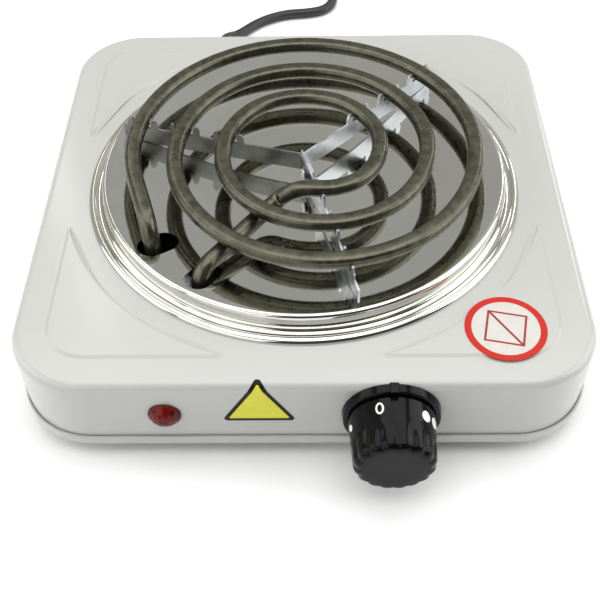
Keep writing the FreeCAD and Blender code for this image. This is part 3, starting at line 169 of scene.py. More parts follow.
def makeFleckGroup():
    # Small scattered marks: dust, chips or pits.
    inputs = [("Vector", "vector", None), ("Scale", "value", 300.0), ("Size", "value", 0.1),
              ("Share", "value", 0.5)]
    tree, start, end = newGroup("fleck", inputs, [("Mask", "value")])
    cells = addNode(tree, "ShaderNodeTexVoronoi")
    tree.links.new(start.outputs["Vector"], cells.inputs["Vector"])
    tree.links.new(start.outputs["Scale"], cells.inputs["Scale"])
    near = mathNode(tree, "LESS_THAN", cells.outputs["Distance"], start.outputs["Size"])
    split = addNode(tree, "ShaderNodeSeparateColor")
    tree.links.new(cells.outputs["Color"], split.inputs[0])
    chosen = mathNode(tree, "LESS_THAN", split.outputs[0], start.outputs["Share"])
    tree.links.new(mathNode(tree, "MULTIPLY", near, chosen), end.inputs["Mask"])
    return tree


mottleGroup = makeMottleGroup()
fleckGroup = makeFleckGroup()


def placeGroup(tree, group, vector, **values):
    node = tree.nodes.new("ShaderNodeGroup")
    node.node_tree = group
    tree.links.new(vector, node.inputs["Vector"])
    for key, value in values.items():
        node.inputs[key].default_value = value
    return node


def startMaterial(name, stretch=(1, 1, 1), constants=None):
    material = bpy.data.materials.new(name)
    material.use_nodes = True
    tree = material.node_tree
    shader = tree.nodes["Principled BSDF"]
    for key, value in (constants or {}).items():
        shader.inputs[key].default_value = value
    coordinates = tree.nodes.new("ShaderNodeTexCoord")
    mapping = tree.nodes.new("ShaderNodeMapping")
    mapping.inputs["Scale"].default_value = stretch
    tree.links.new(coordinates.outputs["Object"], mapping.inputs["Vector"])
    return material, tree, shader, mapping.outputs["Vector"]


def makeFinish(name, settings):
    # A finish from its dictionary: two tones, a range of roughness, fine relief and flecks.
    material, tree, shader, vector = startMaterial(
        name, settings.get("stretch", (1, 1, 1)), settings.get("constants"))
    mottle = placeGroup(tree, mottleGroup, vector, **{
        "Scale": settings.get("scale", 60.0), "Fine Scale": settings.get("fineScale", 900.0)})
    colour = blended(tree, mottle.outputs["Tone"], settings["dark"], settings["light"])
    if "fleck" in settings:
        size, share, tone, scale = settings["fleck"]
        fleck = placeGroup(tree, fleckGroup, vector, Scale=scale, Size=size, Share=share)
        colour = blended(tree, fleck.outputs["Mask"], colour, tone)
    tree.links.new(colour, shader.inputs["Base Color"])
    low, high = settings["rough"]
    tree.links.new(mapped(tree, mottle.outputs["Tone"], 0, 1, low, high), shader.inputs["Roughness"])
    bump = addNode(tree, "ShaderNodeBump", Strength=settings.get("relief", 0.1),
                   Distance=settings.get("depth", 0.0001))
    tree.links.new(mottle.outputs["Height"], bump.inputs["Height"])
    tree.links.new(bump.outputs["Normal"], shader.inputs["Normal"])
    return material


metal = {"Metallic": 1.0}
finishes = {
    "enamel": {"dark": (0.460, 0.462, 0.442), "light": (0.466, 0.468, 0.448), "rough": (0.24, 0.26),
        "scale": 24, "fineScale": 260, "relief": 0.02,
        "fleck": (0.045, 0.10, (0.30, 0.29, 0.26), 260),
        "constants": {"Coat Weight": 0.3, "Coat Roughness": 0.12}},
    "polishedPan": {"dark": (0.60, 0.60, 0.56), "light": (0.68, 0.68, 0.64), "rough": (0.03, 0.09),
        "scale": 22, "fineScale": 300, "relief": 0.03,
        "constants": metal},
    "elementSheath": {"dark": (0.078, 0.076, 0.055), "light": (0.128, 0.125, 0.095), "rough": (0.24, 0.34),
        "scale": 260, "fineScale": 1600, "relief": 0.12, "depth": 0.00015,
        "fleck": (0.14, 0.12, (0.05, 0.048, 0.036), 700),
        "constants": {"Metallic": 0.9}},
    "dullSteel": {"dark": (0.16, 0.16, 0.155), "light": (0.34, 0.34, 0.33), "rough": (0.30, 0.5),
        "scale": 120, "fineScale": 1200, "relief": 0.12,
        "constants": metal},
    "lensRed": {"dark": (0.07, 0.003, 0.003), "light": (0.17, 0.007, 0.004), "rough": (0.12, 0.22),
        "scale": 420, "relief": 0.15, "depth": 0.0003,
        "fleck": (0.34, 0.45, (0.03, 0.002, 0.002), 420),
        "constants": {"Specular IOR Level": 0.22}},
    "labelYellow": {"dark": (0.66, 0.62, 0.015), "light": (0.74, 0.70, 0.02), "rough": (0.30, 0.42),
        "scale": 160, "fineScale": 1500, "relief": 0.06, "depth": 0.00005},
    "labelBlack": {"dark": (0.008, 0.008, 0.007), "light": (0.014, 0.0135, 0.012), "rough": (0.30, 0.42),
        "scale": 300, "fineScale": 1500, "relief": 0.06, "depth": 0.00005,
        "constants": {"Specular IOR Level": 0.12}},
    "galvanised": {"dark": (0.40, 0.43, 0.47), "light": (0.68, 0.71, 0.75), "rough": (0.22, 0.42),
        "scale": 150, "fineScale": 1200,
        "constants": metal},
    "zincScrew": {"dark": (0.48, 0.48, 0.47), "light": (0.66, 0.66, 0.65), "rough": (0.25, 0.42),
        "scale": 260, "fineScale": 1800,
        "constants": metal},
    "brassBlade": {"dark": (0.58, 0.42, 0.17), "light": (0.78, 0.60, 0.28), "rough": (0.24, 0.40),
        "scale": 240, "fineScale": 1500, "relief": 0.08,
        "constants": metal},
    "bimetal": {"dark": (0.46, 0.33, 0.22), "light": (0.62, 0.46, 0.32), "rough": (0.28, 0.45),
        "scale": 240, "fineScale": 1500, "relief": 0.08,
        "constants": metal},
    "steatite": {"dark": (0.72, 0.70, 0.64), "light": (0.84, 0.82, 0.77), "rough": (0.45, 0.60),
        "scale": 300, "fineScale": 2500, "relief": 0.12,
        "fleck": (0.12, 0.3, (0.55, 0.52, 0.46), 1200)},
    "blackMoulding": {"dark": (0.0025, 0.0025, 0.0025), "light": (0.0055, 0.0055, 0.006),
        "rough": (0.05, 0.11), "scale": 80, "relief": 0.03,
        "fleck": (0.04, 0.08, (0.06, 0.06, 0.06), 900),
        "constants": {"Specular IOR Level": 0.13}},
    "footRubber": {"dark": (0.018, 0.018, 0.018), "light": (0.035, 0.035, 0.034), "rough": (0.6, 0.8),
        "scale": 200, "fineScale": 2200, "relief": 0.2, "depth": 0.0002,
        "fleck": (0.09, 0.2, (0.09, 0.09, 0.085), 1300)},
    "cordSheath": {"dark": (0.012, 0.012, 0.012), "light": (0.022, 0.022, 0.023), "rough": (0.34, 0.5),
        "scale": 120, "fineScale": 1500, "relief": 0.12},
    "plugMoulding": {"dark": (0.014, 0.014, 0.014), "light": (0.028, 0.028, 0.028), "rough": (0.4, 0.55),
        "scale": 160, "fineScale": 2600, "relief": 0.2},
    "tieStrap": {"dark": (0.02, 0.02, 0.02), "light": (0.045, 0.045, 0.045), "rough": (0.5, 0.65),
        "scale": 160, "fineScale": 1800, "relief": 0.25, "depth": 0.0002,
        "stretch": (1, 4, 1)},
    "pinNickel": {"dark": (0.60, 0.60, 0.58), "light": (0.76, 0.76, 0.74), "rough": (0.15, 0.28),
        "scale": 200, "fineScale": 1500, "relief": 0.05,
        "constants": metal},
    "holderBlack": {"dark": (0.04, 0.04, 0.04), "light": (0.075, 0.075, 0.075), "rough": (0.42, 0.58),
        "scale": 260, "fineScale": 2000, "relief": 0.15},
    "clampWhite": {"dark": (0.68, 0.68, 0.64), "light": (0.76, 0.76, 0.72), "rough": (0.42, 0.55),
        "scale": 260, "fineScale": 2000, "relief": 0.12},
    "wireBrown": {"dark": (0.16, 0.065, 0.03), "light": (0.22, 0.095, 0.045), "rough": (0.4, 0.52),
        "scale": 300, "fineScale": 1800},
    "wireWhite": {"dark": (0.62, 0.61, 0.56), "light": (0.72, 0.71, 0.66), "rough": (0.5, 0.65),
        "scale": 300, "fineScale": 3000, "relief": 0.3, "depth": 0.0002},
    "wireBlue": {"dark": (0.03, 0.08, 0.36), "light": (0.05, 0.12, 0.46), "rough": (0.4, 0.52),
        "scale": 300, "fineScale": 1800},
    "lampGlass": {"dark": (0.85, 0.70, 0.62), "light": (0.92, 0.80, 0.74), "rough": (0.05, 0.12),
        "scale": 400, "fineScale": 1500, "relief": 0.05,
        "constants": {"Transmission Weight": 0.9, "IOR": 1.47}},
    "whitePrint": {"dark": (0.74, 0.74, 0.72), "light": (0.82, 0.82, 0.80), "rough": (0.35, 0.5),
        "scale": 900, "fineScale": 3000, "depth": 0.00005},
}
materials = {name: makeFinish(name, settings) for name, settings in finishes.items()}


def makeEarthWire():
    # Green with a yellow stripe wound around it.
    material, tree, shader, vector = startMaterial("wireGreenYellow", constants={"Roughness": 0.45})
    waves = addNode(tree, "ShaderNodeTexWave", Scale=70.0, Distortion=0.4)
    waves.bands_direction = "DIAGONAL"
    tree.links.new(vector, waves.inputs["Vector"])
    stripe = mapped(tree, waves.outputs["Fac"], 0.55, 0.6)
    tree.links.new(blended(tree, stripe, (0.07, 0.30, 0.05), (0.75, 0.66, 0.06)),
                   shader.inputs["Base Color"])
    return material


materials["wireGreenYellow"] = makeEarthWire()

# Round label on the top: a red ring round a plain outlined field.
discSetup = {"centre": (78.9, -88), "ring": 13.3, "square": 7.4, "line": 0.45, "tilt": 12,
             "red": (0.50, 0.018, 0.009), "paper": (0.55, 0.535, 0.50), "ink": (0.30, 0.03, 0.025)}


def makeDiscLabel(setup):
    material, tree, shader, vector = startMaterial(
        "labelDisc", constants={"Roughness": 0.35, "Specular IOR Level": 0.2})
    centre = spot(*setup["centre"], 0)
    place = tree.nodes.new("ShaderNodeVectorMath")
    place.operation = "SUBTRACT"
    tree.links.new(vector, place.inputs[0])
    place.inputs[1].default_value = (centre.x, centre.y, 0)
    turned = addNode(tree, "ShaderNodeVectorRotate", Angle=math.radians(setup["tilt"]))
    tree.links.new(place.outputs[0], turned.inputs["Vector"])
    split = tree.nodes.new("ShaderNodeSeparateXYZ")
    tree.links.new(turned.outputs[0], split.inputs[0])
    across, along = split.outputs[0], split.outputs[1]
    spread = mathNode(tree, "SQRT", mathNode(tree, "ADD", mathNode(tree, "MULTIPLY", across, across),
                                             mathNode(tree, "MULTIPLY", along, along)))
    ring = mathNode(tree, "GREATER_THAN", spread, setup["ring"] * mm)
    far = mathNode(tree, "MAXIMUM", mathNode(tree, "ABSOLUTE", across), mathNode(tree, "ABSOLUTE", along))
    off = mathNode(tree, "ABSOLUTE", mathNode(tree, "SUBTRACT", far, setup["square"] * mm))
    outline = mathNode(tree, "LESS_THAN", off, setup["line"] * mm)
    slant = mathNode(tree, "ABSOLUTE", mathNode(tree, "ADD", across, along))
    bar = mathNode(tree, "MULTIPLY", mathNode(tree, "LESS_THAN", slant, setup["line"] * 1.5 * mm),
                   mathNode(tree, "LESS_THAN", far, setup["square"] * mm))
    mottle = placeGroup(tree, mottleGroup, vector, Scale=300.0)
    paper = blended(tree, mottle.outputs["Tone"], setup["paper"],
                    tuple(value * 1.08 for value in setup["paper"]))
    drawn = blended(tree, mathNode(tree, "MAXIMUM", outline, bar), paper, setup["ink"])
    tree.links.new(blended(tree, ring, drawn, setup["red"]), shader.inputs["Base Color"])
    bump = addNode(tree, "ShaderNodeBump", Strength=0.05, Distance=0.00005)
    tree.links.new(mottle.outputs["Height"], bump.inputs["Height"])
    tree.links.new(bump.outputs["Normal"], shader.inputs["Normal"])
    return material


materials["labelDisc"] = makeDiscLabel(discSetup)
print("finishes ready:", len(materials))

# Which finish each CAD piece has.
nodeFinishes = {
    "enamel": ["top_shell", "base_pan"],
    "polishedPan": ["drip_pan"],
    "elementSheath": ["heating_coil"],
    "dullSteel": ["arm_left"],
    "lensRed": ["lamp_lens"],
    "labelYellow": ["warning_triangle"],
    "labelDisc": ["warning_disc"],
    "galvanised": ["arm_front", "arm_back", "lead_bracket", "thermostat_plate",
        "corner_posts", "lamp_clip"],
    "zincScrew": ["foot_screws", "bracket_screws", "thermostat_screws", "clamp_screws", "hub_rivet",
        "knob_spindle", "lead_pins", "neon_leads"],
    "brassBlade": ["leaf_terminal", "contact_leaf", "fixed_contact", "stack_rivet", "threaded_bush",
        "lead_terminals", "earth_screw"],
    "bimetal": ["bimetal_strip"],
    "steatite": ["lead_beads", "pusher_pin", "stack_spacers"],
    "blackMoulding": ["knob", "knob_bezel"],
    "footRubber": ["rubber_feet", "strain_relief"],
    "cordSheath": ["inner_cord", "power_cord", "cord_coil", "plug_lead"],
    "plugMoulding": ["plug_body"],
    "tieStrap": ["cord_tie"],
    "pinNickel": ["plug_pins"],
    "holderBlack": ["lamp_holder"],
    "clampWhite": ["cord_clamp"],
    "wireBrown": ["wire_live"],
    "wireWhite": ["wire_load", "lamp_wires"],
    "wireBlue": ["wire_neutral"],
    "wireGreenYellow": ["wire_earth"],
    "lampGlass": ["neon_bulb"],
}


def dressNode(name, material):
    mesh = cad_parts[name].data
    if not mesh.materials:
        mesh.materials.append(material)
    for index in range(len(mesh.materials)):
        mesh.materials[index] = material


for finish, names in nodeFinishes.items():
    for name in names:
        dressNode(name, materials[finish])


# Pieces made here.
def cleaned(mesh):
    # Joins points that coincide and turns the faces outward.
    shape = bmesh.new()
    shape.from_mesh(mesh)
    bmesh.ops.remove_doubles(shape, verts=shape.verts, dist=0.002 * mm)
    bmesh.ops.recalc_face_normals(shape, faces=shape.faces)
    shape.to_mesh(mesh)
    shape.free()


def addPiece(name, verts, faces, finish, body, cadNodes=(), sharp=40):
    return addMesh(name, plainMesh(name, verts, faces), finish, body, cadNodes, sharp)


def addMesh(name, mesh, finish, body, cadNodes=(), sharp=40):
    cleaned(mesh)
    piece = linked(name, mesh)
    mesh.materials.clear()
    mesh.materials.append(materials[finish])
    mesh.shade_smooth()
    mesh.set_sharp_from_angle(angle=math.radians(sharp))
    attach(piece, body)
    if cadNodes:
        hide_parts(*cadNodes)
    return piece


def ringFaces(rows, steps, closed=True):
    # Faces between rows of points that run round an axis.
    faces = []
    last = rows if closed else rows - 1
    for row in range(last):
        for step in range(steps):
            a, b = row * steps + step, row * steps + (step + 1) % steps
            c, d = (row + 1) % rows * steps + (step + 1) % steps, (row + 1) % rows * steps + step
            faces.append((a, b, c, d))
    return faces


def lathe(profile, at, turn, steps=96, closed=True):
    # Profile points are (radius, height) in millimetres; the axis goes through a point.
    verts = []
    for radius, height in profile:
        for step in range(steps):
            angle = 2 * math.pi * step / steps
            verts.append(at + turn @ (onCircle(radius, angle, height) * mm))
    return verts, ringFaces(len(profile), steps, closed)


def arcPoints(centre, radius, first, last, count):
    angles = [math.radians(first + (last - first) * i / count) for i in range(count + 1)]
    return [(centre[0] + radius * math.cos(a), centre[1] + radius * math.sin(a)) for a in angles]


facingFront = Matrix.Rotation(math.radians(90), 3, "X")
facingBack = Matrix.Rotation(math.radians(-90), 3, "X")
facingLeft = Matrix.Rotation(math.radians(-90), 3, "Y")
upright = Matrix.Identity(3)


def arcBetween(first, last, radius, side, count=6):
    # Points of an arc from one profile point to another; side 1 bulges to the left of the way.
    a, b = Vector(first), Vector(last)
    middle, way = (a + b) / 2, b - a
    rise = math.sqrt(max(radius ** 2 - way.length_squared / 4, 0))
    centre = middle - Vector((-way.y, way.x)).normalized() * rise * side
    start = math.atan2(a.y - centre.y, a.x - centre.x)
    sweep = math.atan2(b.y - centre.y, b.x - centre.x) - start
    sweep = (sweep + math.pi) % (2 * math.pi) - math.pi
    return [(centre.x + radius * math.cos(start + sweep * i / count),
             centre.y + radius * math.sin(start + sweep * i / count)) for i in range(count + 1)]


def prism(outline, low, high, turn=upright, at=(0, 0, 0)):
    # A closed outline in millimetres, pulled from one height to another.
    count = len(outline)
    verts = [Vector(at) + turn @ (Vector((x, y, z)) * mm) for z in (low, high) for x, y in outline]
    faces = [tuple(range(count))[::-1], tuple(range(count, 2 * count))]
    faces += [(i, (i + 1) % count, (i + 1) % count + count, i + count) for i in range(count)]
    return verts, faces


def joined(*shapes):
    verts, faces = [], []
    for more, ring in shapes:
        base = len(verts)
        verts += more
        faces += [tuple(index + base for index in face) for face in ring]
    return verts, faces


def evaluated(item):
    bpy.context.view_layer.update()
    return bpy.data.meshes.new_from_object(item.evaluated_get(bpy.context.evaluated_depsgraph_get()))


def extended(mesh, verts, faces):
    # Puts a further closed shape into a mesh.
    shape = bmesh.new()
    shape.from_mesh(mesh)
    extra = [shape.verts.new(v) for v in verts]
    for face in faces:
        shape.faces.new([extra[index] for index in face])
    shape.to_mesh(mesh)
    shape.free()
    return mesh


def carved(base, *cutters):
    # The base shape with others taken out of it, as a plain mesh.
    objects = []
    for index, (verts, faces) in enumerate((base, *cutters)):
        mesh = plainMesh("blank%d" % index, verts, faces)
        cleaned(mesh)
        objects.append(linked("blank%d" % index, mesh))
    for cutter in objects[1:]:
        step = objects[0].modifiers.new("cut", "BOOLEAN")
        step.operation = "DIFFERENCE"
        step.solver = "EXACT"
        step.object = cutter
    result = evaluated(objects[0])
    for item in objects:
        bpy.data.objects.remove(item)
    return result


# Raised pan, spun from thin sheet, with a slot for each lead of the element.
panSetup = {
    "centre": 1.5, "rise": 9, "floor": 86.8, "wallTop": 88.7, "wallFoot": 89.6, "flange": 1.5,
    "beadInner": 92.2, "edge": 95.6, "sheet": 0.5, "steps": 256,
    "slotAngles": (218.5, 238.5), "slotMiddle": 76.5, "slotHalf": 3.2, "slotRadius": 5.8,
    "opening": 87.3,
}


def panFloor(setup, radius):
    rise = setup["rise"] - setup["centre"]
    ball = (setup["floor"] ** 2 + rise ** 2) / (2 * rise)
    return setup["centre"] + ball - math.sqrt(ball ** 2 - radius ** 2)


def panProfile(setup):
    floor, rise, sheet = setup["floor"], setup["rise"], setup["sheet"]
    foot, flange, edge = setup["wallFoot"], setup["flange"], setup["edge"]
    inner = setup["beadInner"]
    rows = 36
    radii = [0.02 + floor * i / rows for i in range(rows)]
    above = [(r, panFloor(setup, r)) for r in radii]
    above += arcBetween((floor, rise), (setup["wallTop"], rise - 1), 1.6, 1)
    above += [(foot - 0.3, rise - 4), *arcBetween((foot, flange + 1), (foot + 1.1, flange), 1.2, -1, 4)]
    above += arcBetween((inner, flange), (edge, 0.6), 2.1, 1, 8) + [(edge, 0.02)]
    under = edge - sheet
    below = [(under, 0.02), *arcBetween((under, 0.5), (inner + 0.2, flange - sheet), 1.6, -1, 6)]
    below += [(foot + 1, flange - sheet), (foot - sheet, flange + 0.9),
              (setup["wallTop"] - sheet, rise - 1.1), (floor, rise - sheet)]
    below += [(r, panFloor(setup, r) - sheet) for r in reversed(radii)]
    return above + below


def makePan(setup):
    at = Vector((0, bodyShift, topHeight))
    sheet = lathe(panProfile(setup), at, upright, setup["steps"])
    tabs = []
    outer, sheetTop = setup["opening"], setup["rise"] - 1.0
    tab = [(outer - 0.8, -1.4), (outer + 3, -1.4), (outer + 3, -0.8), (outer, -0.8), (outer, sheetTop),
           (outer - 0.8, sheetTop)]
    for quarter in range(4):
        turn = Matrix.Rotation(math.radians(90 * quarter), 3, "Z") @ facingFront
        tabs.append(prism(tab, -4, 4, turn, at))
    slots = []
    for angle in setup["slotAngles"]:
        ends = arcPoints((setup["slotMiddle"] + setup["slotHalf"], 0), setup["slotRadius"], -90, 90, 20)
        ends += arcPoints((setup["slotMiddle"] - setup["slotHalf"], 0), setup["slotRadius"], 90, 270, 20)
        slots.append(prism(ends, -20, 30, Matrix.Rotation(math.radians(angle), 3, "Z"), at))
    mesh = extended(carved(sheet, *slots), *joined(*tabs))
    addMesh("pan", mesh, "polishedPan", "housing", ["drip_pan"], sharp=35)


# Spiral element: half turns about two centres, then the two leads down through the pan.
elementSetup = {
    "radius": 3.6, "height": 64, "flat": 66.9, "turns": 6, "outer": 74.5, "step": 10.3,
    "middle": (4.6, -1.2), "angle": -35, "last": 57, "leadRadius": 79, "leadAngles": (218.5, 238.5),
    "leadFoot": 30, "runHeight": 56.6, "runBend": (-15, -31.5), "around": 48, "softEdge": 1.2,
}


def roundedPath(points, radii, count=12):
    # A line through corner points with each inner corner rounded.
    path = [points[0]]
    for before, corner, after, radius in zip(points, points[1:], points[2:], radii):
        back, on = (before - corner).normalized(), (after - corner).normalized()
        half = back.angle(on) / 2
        reach = radius / math.tan(half)
        centre = corner + (back + on).normalized() * (radius / math.sin(half))
        first, last = corner + back * reach - centre, corner + on * reach - centre
        for step in range(count + 1):
            path.append(centre + first.normalized().slerp(last.normalized(), step / count) * radius)
    return path + [points[-1]]


def elementPath(setup):
    turnAngle = math.radians(setup["angle"])
    half = Vector((math.cos(turnAngle), math.sin(turnAngle), 0)) * (setup["step"] / 2)
    middle = Vector((*setup["middle"], setup["height"]))
    centres = (middle - half, middle + half)
    outerLead, innerLead = [onCircle(setup["leadRadius"], math.radians(a)) for a in setup["leadAngles"]]
    high, foot, run = (Vector((0, 0, setup[key])) for key in ("height", "leadFoot", "runHeight"))
    reach = (outerLead - centres[0]).xy
    start = math.degrees(math.atan2(reach.y, reach.x)) % 360
    start -= math.degrees(math.acos(setup["outer"] / reach.length))

    def onTurn(index, degrees):
        radius, way = setup["outer"] - index * setup["step"], math.radians(degrees)
        return centres[index % 2] + Vector((math.cos(way), math.sin(way), 0)) * radius

    path = roundedPath([outerLead + foot, outerLead + high, onTurn(0, start)], [10])[:-1]
    for index in range(setup["turns"]):
        end = setup["angle"] - 180 * index
        if index == setup["turns"] - 1:
            end = start - setup["last"]
        count = max(12, int((start - end) / 3))
        steps = range(0 if index == 0 else 1, count + 1)
        path += [onTurn(index, start + (end - start) * i / count) for i in steps]
        start = end
    way = math.radians(start)
    heading = Vector((math.sin(way), -math.cos(way), 0))
    inner = [path[-1], path[-1] + heading * 12, Vector((*setup["runBend"], 0)) + run, innerLead + run,
             innerLead + foot]
    return path + roundedPath(inner, [22, 16, 8])[1:]


def newShapeTree(name, inputs, output):
    # An empty geometry tree, with the identifier of each named input.
    tree = bpy.data.node_groups.new(name, "GeometryNodeTree")
    sockets = {}
    for label, kind, start in inputs:
        socket = tree.interface.new_socket(name=label, in_out="INPUT", socket_type="NodeSocket" + kind)
        if start is not None:
            socket.default_value = start
        sockets[label] = socket.identifier
    tree.interface.new_socket(name=output, in_out="OUTPUT", socket_type="NodeSocketGeometry")
    return tree, sockets, tree.nodes.new("NodeGroupInput"), tree.nodes.new("NodeGroupOutput")


def endShapeTree(tree, shape, material, end):
    # Every tree ends in real geometry with its material.
    realize = tree.nodes.new("GeometryNodeRealizeInstances")
    dress = tree.nodes.new("GeometryNodeSetMaterial")
    for source, target in (
            (shape, realize.inputs[0]), (realize.outputs[0], dress.inputs["Geometry"]),
            (material, dress.inputs["Material"]), (dress.outputs[0], end.inputs[0])):
        tree.links.new(source, target)


def makeTubeTree(setup):
    # Sweeps a round tube along the path and presses its upper side flat.
    tree, sockets, start, end = newShapeTree("flatTopTube", (
        ("Path", "Geometry", None), ("Tube Radius", "Float", 0.0036), ("Flat Height", "Float", 0.0669),
        ("Sheath", "Material", None)), "Tube")
    toCurve = tree.nodes.new("GeometryNodeMeshToCurve")
    circle = tree.nodes.new("GeometryNodeCurvePrimitiveCircle")
    circle.inputs["Resolution"].default_value = setup["around"]
    sweep = tree.nodes.new("GeometryNodeCurveToMesh")
    sweep.inputs["Fill Caps"].default_value = True
    place, split = tree.nodes.new("GeometryNodeInputPosition"), tree.nodes.new("ShaderNodeSeparateXYZ")
    lower, combine = tree.nodes.new("ShaderNodeMath"), tree.nodes.new("ShaderNodeCombineXYZ")
    lower.operation = "SMOOTH_MIN"     # a soft edge where the flat begins
    lower.inputs[2].default_value = setup["softEdge"] * mm
    press = tree.nodes.new("GeometryNodeSetPosition")
    for source, target in (
            (start.outputs["Path"], toCurve.inputs[0]), (toCurve.outputs[0], sweep.inputs["Curve"]),
            (start.outputs["Tube Radius"], circle.inputs["Radius"]),
            (circle.outputs[0], sweep.inputs["Profile Curve"]),
            (place.outputs[0], split.inputs[0]), (split.outputs[0], combine.inputs[0]),
            (split.outputs[1], combine.inputs[1]), (split.outputs[2], lower.inputs[0]),
            (start.outputs["Flat Height"], lower.inputs[1]), (lower.outputs[0], combine.inputs[2]),
            (sweep.outputs[0], press.inputs["Geometry"]), (combine.outputs[0], press.inputs["Position"])):
        tree.links.new(source, target)
    endShapeTree(tree, press.outputs[0], start.outputs["Sheath"], end)
    return tree, sockets


def grown(name, mesh, tree, sockets, values):
    # Runs a node tree on a mesh and keeps the result as a plain mesh.
    item = linked(name + "Source", mesh)
    modifier = item.modifiers.new("shape", "NODES")
    modifier.node_group = tree
    for label, value in values.items():
        modifier[sockets[label]] = value
    result = evaluated(item)
    item.modifiers.clear()
    bpy.data.objects.remove(item)
    return result


def makeElement(setup):
    path = [spot(*point) for point in elementPath(setup)]
    line = plainMesh("elementPath", path, [], [(i, i + 1) for i in range(len(path) - 1)])
    tree, sockets = makeTubeTree(setup)
    mesh = grown("element", line, tree, sockets, {
        "Tube Radius": setup["radius"] * mm, "Flat Height": setup["flat"] * mm,
        "Sheath": materials["elementSheath"]})
    addMesh("element", mesh, "elementSheath", "housing", ["heating_coil"], sharp=24)


makePan(panSetup)
makeElement(elementSetup)
print("pan and element ready")

# Knob: a tapered drum with scallops near its front, and the ring it turns in.
knobSetup = {
    "centre": (34, -118.9, 27.5), "length": 21.1, "back": 17, "flutes": 16, "fluteDepth": 0.6,
    "fluteFrom": 9.5, "fluteFull": 17.5, "steps": 256, "lift": 0.05,
    "zeroAngle": -20, "zeroAt": 4.6, "zeroSize": (3.3, 4.8), "zeroStroke": 0.75,
    "dots": 13, "dotFirst": 45, "dotStep": 20, "dotSizes": (2.25, 1.5), "dotAt": 5.6,
}
bezelSetup = {"centre": (34, -115, 27.5), "radius": 19.2, "depth": 3.5, "rib": (3.6, 4.5, 1.7)}


def drumRadius(setup, depth):
    # Outer radius of the drum at a distance from its back.
    rows = ((0, -0.6), (0.6, 0), (8.4, -0.7), (18.2, -1.3))
    for (low, first), (high, last) in zip(rows, rows[1:]):
        if depth <= high:
            return setup["back"] + first + (last - first) * (depth - low) / (high - low)
    return setup["back"] + rows[-1][1]


def makeKnob(setup):
    length, back = setup["length"], setup["back"]
    depths = [0, 0.25, 0.6, 1.5, 3, 5, 7, 8.4] + [9 + 0.6 * i for i in range(16)]
    outer = [(drumRadius(setup, d), d) for d in depths]
    outer += arcBetween((back - 1.3, length - 2.9), (back - 4.2, length), 3, -1, 8)
    outer += [(back * share, length) for share in (0.6, 0.4, 0.2, 0.001)]
    inner = [(0.02, 17), (3.05, 17), (3.05, 0), (5.4, 0), (5.4, 11), (back - 2.8, 11), (back - 2, 0)]
    at, steps = spot(*setup["centre"]), setup["steps"]
    verts = []
    for index, (radius, depth) in enumerate(outer + inner):
        share = min(max((depth - setup["fluteFrom"]) / (setup["fluteFull"] - setup["fluteFrom"]), 0), 1)
        share *= share * (3 - 2 * share)
        if index >= len(outer):
            share = 0
        fade = min(max((radius - 8) / 6, 0), 1)
        for step in range(steps):
            angle = 2 * math.pi * step / steps
            hollow = (0.5 + 0.5 * math.cos(setup["flutes"] * angle)) ** 1.5
            size = radius - setup["fluteDepth"] * share * fade * hollow
            verts.append(at + facingFront @ (onCircle(size, angle, depth) * mm))
    return addPiece("knobDrum", verts, ringFaces(len(outer) + len(inner), steps), "blackMoulding", "knob",
                    ["knob"], sharp=50)


def onDrum(setup, degrees, around, depth, lift):
    # A point on the drum, clockwise from its top as seen from the front.
    radius = drumRadius(setup, depth) + lift
    angle = math.radians(90 - degrees) - around / radius
    return spot(*setup["centre"]) + facingFront @ (onCircle(radius, angle, depth) * mm)


def thinSheet(front, back, rows, columns, closed=False):
    # A closed sheet from two grids of points of the same shape.
    faces, size = [], rows * columns
    lines = [[r * columns + c for c in range(columns)] for r in range(rows)]
    wrap = columns if closed else columns - 1
    for r in range(rows - 1):
        for c in range(wrap):
            a, b = lines[r][c], lines[r][(c + 1) % columns]
            d, e = lines[r + 1][(c + 1) % columns], lines[r + 1][c]
            faces += [(a, b, d, e), (e + size, d + size, b + size, a + size)]
    edge = [(lines[0][c], lines[0][(c + 1) % columns]) for c in range(wrap)]
    edge += [(lines[-1][(c + 1) % columns], lines[-1][c]) for c in range(wrap)]
    if not closed:
        edge += [(lines[r + 1][0], lines[r][0]) for r in range(rows - 1)]
        edge += [(lines[r][-1], lines[r + 1][-1]) for r in range(rows - 1)]
    faces += [(b, a, a + size, b + size) for a, b in edge]
    return list(front) + list(back), faces


